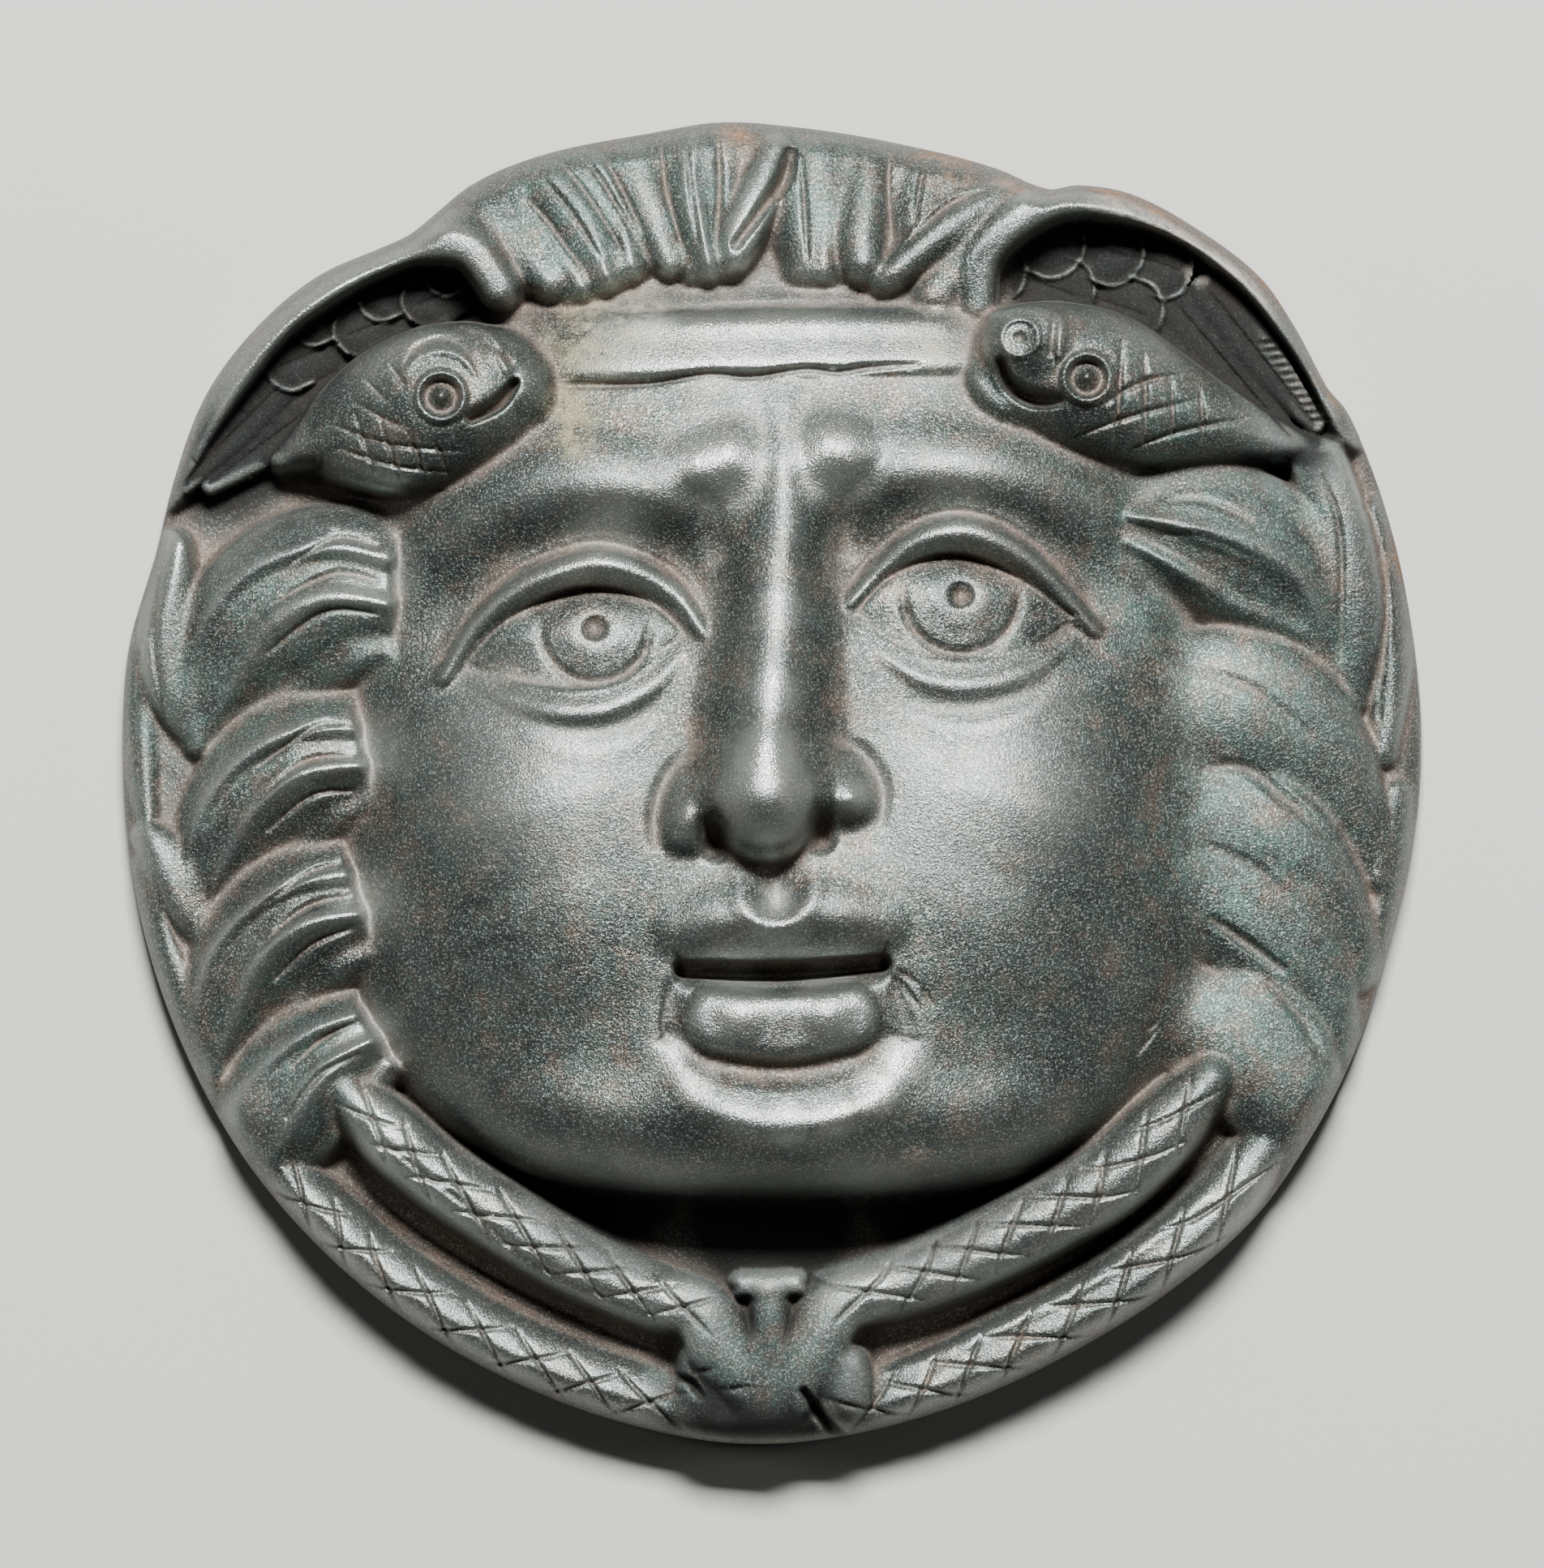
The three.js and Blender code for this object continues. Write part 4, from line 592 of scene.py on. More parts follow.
def carve_right_hair(relief):
    # This side is worn lower and smoother
    relief.roll([(96, -2, 2.6, 12.5), (95.5, -14, 3.4, 13), (93, -28, 2.8, 12.5)], 3, 3)
    relief.roll([(94, 42, 2.8, 15), (95, 32, 3.4, 14.5), (95.4, 20, 3.4, 14),
                 (93.6, 5, 2.6, 13.5)], 3, 3)
    relief.roll([(83.6, 49, 4.6, 21), (86.6, 38, 5.2, 20), (88.4, 26, 5.2, 18.5),
                 (88, 13, 3.4, 15.5)], 4, 3)
    relief.roll([(62, -36, 7, 22), (72, -40, 11, 22.5), (80, -50, 9, 19.5),
                 (82, -58, 5.6, 15)], 7, 5)
    relief.roll([(62, -16, 7, 23), (73, -20.6, 9.4, 22.6), (81, -29, 7.6, 19.6),
                 (87, -40, 4, 15)], 6, 5)
    relief.roll([(62, -3, 7, 23.6), (74, -8, 9.6, 23.4), (82.4, -16.6, 8.2, 20),
                 (89, -28, 4.6, 15)], 6, 5)
    relief.roll([(60, 14, 8, 24), (71, 11.6, 12.4, 24.6), (80, 5.4, 11.2, 21.5), (88, -5, 6.6, 17),
                 (92, -14, 3, 13.5)], 7, 5)
    relief.lock([(54.6, 40, 7, 28), (63, 38.8, 11.4, 29), (72, 35.4, 12.8, 26.5),
                 (80, 28, 10.4, 22), (84, 17.6, 5.4, 17)],
                strands=2.6, depth=1.5, fall=10, blend=3, wander=0.9)
    relief.roll([(66, 28.6, 2, 23.5), (74, 26.4, 2.4, 22), (81, 23, 1.6, 19.5)], 4, 2)
    relief.rub(66, -42, 17, 18, 5)
    relief.rub(67, -14, 17, 20, 4.4)
    relief.rub(64, 12, 15, 15, 4)


def chase_right_hair(relief):
    relief.trail([(64, 17.6), (73, 14.6), (82, 7.6)], 1.6, -0.6)
    relief.trail([(66, 2.4), (72, 2.4), (78, -2), (86, -9)], 1.6, -1)
    relief.trail([(66, -9.4), (74, -13), (83, -22)], 1.6, -0.6)
    relief.trail([(67, -20.6), (72, -24), (78, -28.4)], 1.4, -1.5)
    relief.trail([(76, -30.4), (81, -36), (85, -44)], 1.4, -0.9)
    relief.trail([(84, 47), (86.8, 38), (87, 20)], 0.9, -0.8)
    relief.trail([(91, 44), (94, 30), (93, 10)], 0.9, -0.8)
    relief.trail([(60, 43), (66, 43), (73, 40)], 1, -0.8)
    relief.trail([(60, 38), (66, 37.6), (74, 34)], 1, -0.8)
    relief.cuts([(55, -42, 59, -37), (57, -38, 59, -36)], 0.6, -0.8)


# Snakes
LEFT_UPPER_BODY = [(-65, -46.8, 4, 25), (-58.5, -53.4, 5.6, 27), (-52, -59, 5.8, 26.5),
                   (-42.5, -65.5, 6, 25.5), (-33, -71.4, 6, 24.5), (-24.5, -75.7, 5.8, 23.5),
                   (-16, -79, 5.6, 22.5), (-8, -81, 5.2, 21)]
LEFT_LOWER_BODY = [(-76, -59, 5, 17), (-69, -66.8, 6.2, 19), (-62, -73.4, 6.4, 19),
                   (-52, -80.6, 6.6, 19), (-42, -86.4, 6.6, 18.5), (-32, -90.8, 6.6, 18),
                   (-22, -94, 6.4, 17.5), (-11, -96.4, 5.8, 17)]
RIGHT_UPPER_BODY = [(67, -44.8, 4, 26), (60, -52.5, 6, 28), (52, -60, 6.4, 27.5),
                    (44, -65, 6.4, 26.5), (35, -69.7, 6.4, 25.5), (27, -73.5, 6.2, 24.5),
                    (18, -76.8, 5.8, 23.5), (7, -79, 5.2, 22)]
RIGHT_LOWER_BODY = [(75, -56, 5, 18), (66, -67.4, 6.4, 20), (56, -75.6, 6.8, 20),
                    (46, -82, 6.8, 19.5), (36, -87.2, 6.8, 19), (27, -91.7, 6.6, 18.5),
                    (18, -95, 6.4, 18), (9, -97, 5.4, 17)]
PLAIN_END = 0.04  # share of a snake's body left uncut at each end
CUT_PLACES = (-1, -0.4, 0.4, 1)  # where a slanting cut is set out, from one side to the other


def cross_body(relief, body, count, lead, reach):
    """Slanting cuts across a snake's body at even steps. Each runs from one side of its middle to
    the other, over a share of its half width, and leads on along it by so many shares."""
    line = smooth_line(body)
    steps = len(line) - 1
    for k in range(count):
        middle = (PLAIN_END + (1 - 2 * PLAIN_END) * (k + 0.5) / count) * steps
        places = []
        for share in CUT_PLACES:
            i = int(np.clip(middle + share * lead, 0, steps - 1))
            x, y, half, _ = line[i]
            dx, dy = line[i + 1][:2] - line[i][:2]
            across = half * reach * share / math.hypot(dx, dy)
            places.append((x - dy * across, y + dx * across))
        relief.trail(places, 0.55, -0.9)


def carve_bodies(relief):
    relief.roll(LEFT_LOWER_BODY, 9, 1.6)
    relief.roll(LEFT_UPPER_BODY, 10, 1.6)
    relief.roll(RIGHT_LOWER_BODY, 9, 1.6)
    relief.roll(RIGHT_UPPER_BODY, 10, 1.6)
    relief.swell([(66, -63, 1.8, 0.8), (50, -75, 2, 1.4), (30, -85, 2, 1.4), (16, -90, 1.8, 0.8)])


def chase_bodies(relief):
    # Plaits of the channel between the two bodies of the left snake
    for shift in (0, 2.8, 5.6):
        relief.trail([(-65 + shift, -60 + shift), (-52 + shift, -70 + shift), (-36, -79 + shift),
                      (-18, -87 + shift)], 0.9, -0.6)
    cross_body(relief, LEFT_UPPER_BODY, 7, -15, 0.62)
    cross_body(relief, LEFT_UPPER_BODY, 8, 13, 0.5)
    cross_body(relief, LEFT_LOWER_BODY, 7, 13, 0.6)
    cross_body(relief, LEFT_LOWER_BODY, 8, -13, 0.6)
    cross_body(relief, RIGHT_UPPER_BODY, 8, 11, 0.66)
    cross_body(relief, RIGHT_UPPER_BODY, 7, -17, 0.6)
    cross_body(relief, RIGHT_LOWER_BODY, 8, 11, 0.66)
    cross_body(relief, RIGHT_LOWER_BODY, 7, -17, 0.6)


def carve_knot(relief):
    # Block under the knot, the loop at its right, the two strands that cross, and the bar over them
    relief.roll([(-0.6, -85, 12, 21), (-1, -98, 12.5, 17)], 8, 3)
    relief.roll([(-9.4, -88, 5, 22), (-8.6, -97, 6.2, 20)], 5, 3)
    relief.roll([(11.6, -89, 3.6, 23.4), (10.6, -93.6, 4.8, 22.8), (9.6, -99, 5.2, 18.6)], 6, 1.6)
    relief.roll([(15, -77.8, 4.4, 23.6), (10, -80.2, 4.8, 24.6), (6.4, -85.6, 5.2, 24.8),
                 (2.6, -91.6, 5, 23.8), (-5, -99.6, 6, 18.6)], 5, 2.6)
    relief.roll([(-15.6, -78.8, 4.4, 23.8), (-10.8, -80.6, 4.8, 24.8), (-7.8, -85.6, 5.4, 25),
                 (-3, -91.4, 5, 24.2), (1.6, -99.6, 5.6, 19)], 5, 2.6)
    relief.roll([(-0.4, -77.6, 3, 24.4), (-0.2, -86, 3, 23.6)], 4, 2.4)
    relief.roll([(-4.6, -76.4, 2.2, 24), (3.6, -76.2, 2.2, 24)], 3, 3)


def chase_knot(relief):
    relief.swell([(4.8, -92.6, 1, -2), (7.8, -97, 1.4, -4), (11, -100.6, 1.4, -4)])
    relief.swell([(-15, -90.6, 1, -2.4), (-12.6, -91.4, 1.2, -2.6), (-10.8, -93.4, 0.9, -1.6)])
    relief.swell([(-6.2, -77, 1.5, -1.8)])
    relief.swell([(5.6, -76, 1.5, -1.8)])
    relief.cuts([(-11.6, -89.8, -8.6, -89.2), (-8, -92.4, -3, -92), (-3.8, -79, -3.4, -87),
                 (3.4, -79, 1.6, -87)], 0.8, -0.9)


# Heads of the snakes
def carve_left_head(relief):
    relief.roll([(-75, 49.6, 3, 20), (-68.4, 52.6, 5.4, 28), (-62, 54.2, 9.4, 34),
                 (-56, 55.8, 12, 39.5), (-50, 58.2, 12.2, 42), (-44, 59.6, 10.4, 42),
                 (-39.6, 60, 7.8, 40)], 15, 1.6)
    relief.roll([(-37.2, 60.6, 3.2, 35.6), (-36, 57.6, 4, 35.6)], 7, 3)
    relief.swell([(-50, 58.6, 5.6, -1.6)])


def carve_right_head(relief):
    relief.roll([(84, 50.6, 2.8, 19), (74, 53, 5, 26), (66, 55.4, 7, 32), (58, 57.8, 9.4, 38),
                 (50, 60.8, 11.4, 42), (43.6, 62.8, 10.8, 43), (38, 64.4, 8.8, 41)], 15, 1.6)
    relief.roll([(37.6, 67, 5.8, 44), (40, 67, 5.8, 44.6)], 7, 3)
    relief.roll([(31.6, 65.6, 2, 34), (31.8, 61, 2.8, 37), (35, 57.4, 3, 37),
                 (41, 55.4, 2.4, 36)], 6, 1.6)
    relief.swell([(47.6, 61.4, 5.6, -1.6)])


def chase_head_eye(relief, x, y):
    """A snake's eye: a bead in a groove inside a raised ring."""
    relief.swell(ring_of(x, y, 3.5, 1, 1.8))
    relief.swell(ring_of(x, y, 2.3, 0.6, -0.8))
    relief.swell([(x, y, 1.7, 2.4)])


def chase_left_head(relief):
    relief.swell([(-45.4, 55.4, 1.3, -4), (-41.4, 57.6, 1.5, -5.5), (-39, 60.6, 1.1, -3.5)])
    relief.swell([(-48, 70.6, 1.2, 0.8), (-42.6, 67.4, 1.3, 1.4), (-40, 62.6, 1.1, 1)])
    relief.swell([(-44.6, 68.6, 0.8, -0.8), (-41.8, 66, 0.9, -1.2), (-39.4, 63.6, 0.7, -0.6)])
    brow = [(-55.6, 61.6), (-54, 64.2), (-50.4, 65.6), (-47, 64.6), (-44.8, 61.8)]
    relief.swell(tapered(brow, 1.2, 1))
    relief.swell(tapered(brow, 0.9, -0.9, 1.9))
    chase_head_eye(relief, -50, 58.6)
    for line in ([(-67, 54.6), (-58, 51.6), (-47, 50.4)], [(-66, 51), (-57, 48.4), (-49, 47.4)],
                 [(-63, 57.6), (-58, 55), (-55.6, 54)]):
        relief.trail(line, 0.7, -1.2)
    relief.cuts([(-63.4, 56.6, -60.4, 47.6), (-59.4, 55.4, -56.4, 46.4), (-55, 54, -52.4, 45.8),
                 (-51, 52.4, -48.8, 46.6), (-62, 61.6, -58, 57.6),
                 (-58, 63.6, -55.4, 60)], 0.65, -1.2)
    relief.trail([(-67, 48), (-58, 45.4), (-50, 44.6)], 0.8, -0.9)


def chase_right_head(relief):
    relief.swell([(34.6, 64, 1.1, -3), (36, 60.6, 1.5, -5.5), (39.6, 58.4, 2, -6.5),
                  (43.4, 58, 1.3, -3)])
    relief.swell(ring_of(37.4, 67.4, 2.8, 0.7, 0.9))
    relief.swell([(37.4, 67.4, 1.2, -1.2)])
    relief.swell([(43.4, 64.6, 1, 0.9), (44, 71, 1, 0.9)])
    relief.swell([(42, 65, 0.7, -0.8), (42.6, 71, 0.7, -0.8)])
    chase_head_eye(relief, 47.6, 61.4)
    relief.cuts([(53, 67, 52, 50.6), (56.4, 65.4, 56.6, 51), (60.4, 62.6, 61, 51.4),
                 (65, 60, 65.6, 52)], 0.7, -1.3)
    for line in ([(50.6, 57.6), (56, 60.8), (62, 62)], [(46, 52.6), (54, 55.6), (65, 58.4)],
                 [(54, 50.8), (62, 53.6), (72, 55.6)]):
        relief.trail(line, 0.7, -1.3)


# Wings: the crest of each, from (x, y, height), with the outer slope falling from it
LEFT_CREST = [(-90.6, 44.6, 17), (-86.4, 52.4, 21.5), (-80.4, 61, 25.5), (-76.2, 66.4, 27),
              (-71.6, 71, 28), (-64, 76, 28.5), (-58, 79, 29), (-52, 80.6, 30), (-45, 79.6, 31),
              (-40.6, 74, 31)]
RIGHT_CREST = [(30.6, 71.6, 30), (31.4, 78.6, 31), (36.6, 84, 31.5), (44.2, 87.2, 30.5),
               (54.6, 86.2, 29), (63.2, 82.8, 28), (71.6, 76.6, 26.5), (78, 69.2, 25),
               (83.2, 61.6, 22.5), (87, 53.4, 19)]
WING_BED = 17
WING_TOP = 22  # the feathers stay below it, clear of the rim and the snake
CREST_OUT = 1.022  # the crest stands this much further out than its points
CREST_HALF_WIDTH = 3.4
SLOPE_BELOW = 2  # shares that the outer slope starts below the crest
FEATHER_FALL = 1.4
FEATHER_BLEND = 0.3


def carve_wing(relief, crest, inner, outward, half_width):
    """The wing's bowl: its slope, the hollow down to the feathers and the crest round it."""
    relief.roll([(x * outward, y * outward, half_width, z - SLOPE_BELOW) for x, y, z in crest],
                9, 2)
    relief.sink([(x, y) for x, y, _ in crest] + inner, WING_BED)
    relief.roll([(x * CREST_OUT, y * CREST_OUT, CREST_HALF_WIDTH, z) for x, y, z in crest], 5, 3,
                leaf_section)


LEFT_SCALES = [(-73.2, 64.6, 4.4), (-69.8, 70.8, 3.8), (-62.6, 69.4, 4.4), (-59.4, 74.6, 3.8),
               (-52.4, 74, 4.2), (-49.4, 78.2, 3.6)]
RIGHT_SCALES = [(59.4, 79.4, 5.2), (54.6, 72.4, 5.2), (51.4, 81.6, 5.4), (43.8, 75.4, 5.6),
                (42.4, 82.8, 5.4), (33.6, 78.2, 5.2)]
SCALE_ROOT = 1.1  # shares of its radius from a scale's middle back to its root
SCALE_QUILL = 0.5  # and from its middle on to the end of its quill
SCALE_RIM = SimpleNamespace(half_width=0.75, height=1.2, turns=(-110, -70, -35, 0, 35, 70, 110))


def lay_scales(relief, scales, turn, height):
    """Overlapping scale feathers at (x, y, radius), each laid over the ones beyond it, with a rim
    and a quill. They all point the way of turn, in degrees."""
    forward = (math.cos(math.radians(turn)), math.sin(math.radians(turn)))
    for x, y, radius in scales:
        root = (x - SCALE_ROOT * radius * forward[0], y - SCALE_ROOT * radius * forward[1])
        relief.roll([(*root, radius, height - 2), (x, y, radius, height)], FEATHER_FALL,
                    FEATHER_BLEND, leaf_section)
        angles = [math.radians(turn + step) for step in SCALE_RIM.turns]
        rim = [(x + radius * math.cos(a), y + radius * math.sin(a)) for a in angles]
        relief.swell([(*place, SCALE_RIM.half_width, SCALE_RIM.height) for place in rim])
        tip = (x + SCALE_QUILL * radius * forward[0], y + SCALE_QUILL * radius * forward[1])
        relief.trail([root, tip], 0.6, -1.1)


def carve_wings(relief):
    carve_wing(relief, LEFT_CREST, [(-44, 68), (-56, 58), (-72, 50)], 1.036, 5)
    carve_wing(relief, RIGHT_CREST, [(80, 51), (66, 56), (46, 64)], 1.028, 4)


BARB_STEPS = 7  # between the root of a long feather and its tip


def lay_long_feathers(relief, feathers):
    """Long feathers, each with its quill and slanting barbs."""
    for start, end, half_width, height in feathers:
        middle = ((start[0] + end[0]) / 2, (start[1] + end[1]) / 2)
        line = [(*start, half_width, height), (*middle, half_width, height - 0.6),
                (*end, half_width * 0.5, height - 1.6)]
        relief.roll(line, FEATHER_FALL, FEATHER_BLEND, leaf_section)
        relief.trail([start, middle, end], 0.6, -0.7)
        for k in range(1, BARB_STEPS):
            x = start[0] + (end[0] - start[0]) * k / BARB_STEPS
            y = start[1] + (end[1] - start[1]) * k / BARB_STEPS
            relief.cuts([(x, y, x + 0.8 * (end[1] - start[1]) / 9, y + 2.2)], 0.4, -0.35)


def chase_left_wing(relief):
    lay_long_feathers(relief, [((-68, 59), (-86, 46), 3.4, 17), ((-73, 63), (-90, 46), 3.2, 17.6)])
    lay_scales(relief, LEFT_SCALES, -157, 18.6)


def chase_right_wing(relief):
    lay_long_feathers(relief, [((59, 68), (74, 53.6), 3.8, 17.4), ((62, 73), (79, 53), 3.8, 17.8),
                               ((67, 75), (83, 55), 3.4, 18.4)])
    lay_scales(relief, RIGHT_SCALES, -20, 19)
    relief.cuts([(31, 76.5, 35, 76.5), (31.6, 80, 35.6, 78.6), (32, 74.6, 35.6, 74.6)], 0.5, -0.8)
    # Short ticks along the outer edge
    ticks = 11
    for k in range(ticks):
        x, y = 76.5 + 9 * k / ticks, 69 - 13 * k / ticks
        relief.cuts([(x - 2.4, y - 1.6, x + 0.8, y - 1.2)], 0.5, -1)


def carve_fillet(relief):
    """Band across the forehead."""
    relief.swell([(-40, 67, 5.6, 0.8), (-20, 66.6, 5.6, 2.6), (0, 67.3, 5.6, 2.8),
                  (27, 67.6, 5.6, 2.2)], blunt_section)
    relief.swell([(-20, 69.4, 2.6, 0.3), (0, 70, 2.6, 0.8), (26, 70, 2.6, 0.5)])
    relief.swell([(-24, 75, 4, -1.4), (0, 75.6, 4, -1.6), (22, 74, 4, -1.2)])


def chase_fillet(relief):
    """Cut line along the lower edge of the band, struck a little unevenly."""
    relief.trail([(-31, 60.4), (-20, 60.8), (-10, 62.2), (-3, 62), (5, 62.9), (10, 62.6),
                  (15, 63.2), (22, 63.6)], 0.9, -1.6)
    relief.trail([(-17, 72.4), (0, 73), (25, 72.8)], 0.9, -0.7)


def carve_mask(count):
    """The whole relief: its broad forms, rubbed smooth, then the chisel work."""
    relief = Relief(count)
    carve_face(relief)
    carve_lids(relief, LEFT_EYE)
    carve_lids(relief, RIGHT_EYE)
    carve_nose(relief)
    carve_mouth(relief)
    carve_fillet(relief)
    carve_top_hair(relief)
    carve_left_hair(relief)
    carve_right_hair(relief)
    carve_bodies(relief)
    carve_knot(relief)
    carve_wings(relief)
    carve_left_head(relief)
    carve_right_head(relief)
    relief.soften(SOFTENING)
    chase_eye(relief, LEFT_EYE)
    chase_eye(relief, RIGHT_EYE)
    chase_mouth(relief)
    chase_fillet(relief)
    chase_top_hair(relief)
    chase_left_hair(relief)
    chase_right_hair(relief)
    chase_bodies(relief)
    chase_knot(relief)
    above = np.where(relief.z > WING_TOP, relief.z, 0)
    chase_left_wing(relief)
    chase_right_wing(relief)
    relief.z = np.where(above > 0, above, relief.z)
    chase_left_head(relief)
    chase_right_head(relief)
    return relief


# Mesh of the mask
RIM_WIDTH = 11.1  # shares, the flat ring behind
WALL = 6.7  # bronze between the relief and the hollow behind it
HOLLOW_LEAST = 1.2
HOLLOW_TURN = 0.12  # share of the radius over which the side of the hollow rises
HOLLOW_RUB = 2
COARSE_COUNT = 208  # steps of the coarser raster that the hollow is worked on, a share each
BACK_CELLS = 4  # front cells along each back cell


def disc_places(count):
    """A square lattice pressed into a disc: x and y of (count + 1) squared places, radius 1."""
    u, v = np.meshgrid(np.linspace(-1, 1, count + 1), np.linspace(-1, 1, count + 1))
    return u * np.sqrt(1 - v * v / 2), v * np.sqrt(1 - u * u / 2)


def read_raster(raster, half, x, y):
    """Values of a square raster that reaches half shares each way, blended between its places."""
    count = len(raster)
    last = count - 1.001  # just short of the last place, so that the next one is there
    column = np.clip((x + half) / (2 * half) * count - 0.5, 0, last)
    row = np.clip((y + half) / (2 * half) * count - 0.5, 0, last)
    i, j = column.astype(int), row.astype(int)
    s, t = column - i, row - j
    lower = raster[j, i] * (1 - s) + raster[j, i + 1] * s
    upper = raster[j + 1, i] * (1 - s) + raster[j + 1, i + 1] * s
    return lower * (1 - t) + upper * t


def border_loop(count):
    """Indices round a lattice, anticlockwise from its first corner."""
    grid = np.arange((count + 1) ** 2).reshape(count + 1, count + 1)
    return np.concatenate([grid[0, :-1], grid[:-1, -1], grid[-1, :0:-1], grid[:0:-1, 0]])


def cell_faces(count):
    """The four corners of each cell of a lattice."""
    grid = np.arange((count + 1) ** 2).reshape(count + 1, count + 1)
    corners = [grid[:-1, :-1], grid[:-1, 1:], grid[1:, 1:], grid[1:, :-1]]
    return np.stack([corner.ravel() for corner in corners], axis=1)


def front_heights(relief, x, y, reach):
    """The carving, rounded down to the upright edge of the casting."""
    carved = read_raster(relief.z, RASTER_HALF, x, y)
    inside = np.clip((1 - reach) * WIDTH / 2 / EDGE_ROUNDING, 0, 1)
    return EDGE_HEIGHT + (carved - EDGE_HEIGHT) * np.sqrt(1 - (1 - inside) ** 2)


def hollow_heights(relief, x, y, share):
    """The relief seen from behind through an even wall of bronze."""
    places = (np.arange(COARSE_COUNT) + 0.5) * 2 * RASTER_HALF / COARSE_COUNT - RASTER_HALF
    gx, gy = np.meshgrid(places, places)
    reach = np.minimum(np.hypot(gx, gy) / outline_radius(np.arctan2(gy, gx)), 1)
    surface = front_heights(relief, gx, gy, reach)
    ceiling = surface - WALL
    ring = int(WALL)
    for i in range(-ring, ring + 1):
        for j in range(-ring, ring + 1):
            if i * i + j * j < WALL * WALL:
                near = np.roll(surface, (i, j), (0, 1))
                ceiling = np.minimum(ceiling, near - math.sqrt(WALL * WALL - i * i - j * j))
    ceiling = np.maximum(read_raster(blurred(ceiling, HOLLOW_RUB), RASTER_HALF, x, y), HOLLOW_LEAST)
    turn = np.clip((1 - share) / HOLLOW_TURN, 0, 1)
    return ceiling * np.sqrt(1 - (1 - turn) ** 2)


def mask_surface(relief, count):
    """Vertices in shares and faces of the closed casting: front, upright edge, flat rim, hollow."""
    u, v = disc_places(count)
    angle, reach = np.arctan2(v, u), np.hypot(u, v)
    radius = outline_radius(angle)
    x, y = u * radius, v * radius
    front = np.stack([x, y, front_heights(relief, x, y, reach)], axis=-1).reshape(-1, 3)
    edge = front[border_loop(count)] * (1, 1, 0)

    back_count = count // BACK_CELLS
    u, v = disc_places(back_count)
    angle, share = np.arctan2(v, u), np.hypot(u, v)
    radius = outline_radius(angle) * (1 - RIM_WIDTH / (WIDTH / 2))
    x, y = u * radius, v * radius
    back = np.stack([x, y, hollow_heights(relief, x, y, share)], axis=-1).reshape(-1, 3)

    loop = border_loop(count)
    lower = len(front) + np.arange(len(loop))
    wall = np.stack([loop, lower, np.roll(lower, -1), np.roll(loop, -1)], axis=1)
    first_back = len(front) + len(edge)
    mouth = first_back + border_loop(back_count)
    rim = []
    for k in range(len(mouth)):
        outer = [int(lower[(k * BACK_CELLS + i) % len(lower)]) for i in range(BACK_CELLS + 1)]
        inner = [int(mouth[(k + 1) % len(mouth)]), int(mouth[k])]
        rim.append(outer[::-1] + inner[::-1])
    faces = cell_faces(count).tolist() + wall.tolist() + rim
    faces += (first_back + cell_faces(back_count)[:, ::-1]).tolist()
    return np.vstack([front, edge, back]), faces


def set_numbers(mesh, name, values):
    """One number for each vertex, for the material to read."""
    attribute = mesh.attributes.new(name, "FLOAT", "POINT")
    attribute.data.foreach_set("value", values.astype(np.float32))


# Places of stains, and of painted shade, as (x, y, radius) in shares
VERDIGRIS = [(-9, 88, 9), (8, 92, 8), (62, 34, 14), (78, 18, 14), (72, -8, 14), (78, -36, 14),
             (-2, -88, 14), (-30, 88, 12), (-72, -44, 12), (-70, 24, 12), (60, 52, 8), (76, 42, 12),
             (-88, 8, 12)]
EARTH = [(-28, 67, 6), (-21, 70, 5), (-30, 57, 4), (-30, 52, 3), (24, 66, 3)]
# Painted shade: black laid where shadow falls, in the wings' hollows, under the chin and under the
# snakes' heads
PAINTED_SHADE_PLACES = [(46, 78, 11), (56, 74, 13), (70, 66, 14), (78, 57, 11), (-52, 74, 11), (-62, 70, 13),
        (-74, 60, 14), (-84, 50, 10), (-24, -60, 12), (0, -66, 14), (24, -61, 12), (40, -52, 8),
        (-40, -50, 8), (36, 51, 7), (46, 50, 7), (60, 50, 6), (-44, 46, 7), (-1, -92, 14)]
RUST = [(60, 88, 8), (74, 80, 8), (52, 91, 4), (84, 60, 4), (-5, 99, 3), (27, 96, 5), (38, 93, 4),
        (23, -56, 3), (97, 34, 4)]

# Places given painted highlights, where handling would also wear the bronze bright, and those given
# a softer painted sheen
PAINTED_HIGHLIGHTS = [(-1, 4.6, 5), (0.4, 14, 3), (0.8, 26, 3), (-8.4, 49, 7), (9.6, 50, 7), (-5.4, -34, 5),
          (8.6, -33.6, 5), (-15.6, -41, 3.2), (-11, -45.6, 3), (-5, -49.6, 3), (2, -51.4, 3),
          (9, -50, 3), (15.6, -46.2, 3), (20, -41.6, 3.2), (1, -20, 4)]
PAINTED_SHEEN = [(-34, 4, 16), (30, 1, 16), (-20, 67, 8), (-6, 67, 9), (8, 67, 9), (22, 67, 8), (0, 54, 8),
          (-24, 40, 6), (28, 45, 6), (-60, 32, 6), (-60, 5, 6), (-62, -18, 6), (-60, -38, 6)]
# Places painted darker, where the wear and the painted highlights are mostly held back: painted
# shade
PAINTED_DARKER_PLACES = [(-50, 58, 14), (-66, 54, 10), (38, 66, 8), (46, 60, 15), (64, 56, 12), (-1, -90, 14),
        (72, -30, 24), (74, 4, 20), (66, 34, 12), (20, 90, 18), (-34, 90, 12)]
SPOT_END = 1.4  # radii from the middle of a spot to where it has faded out

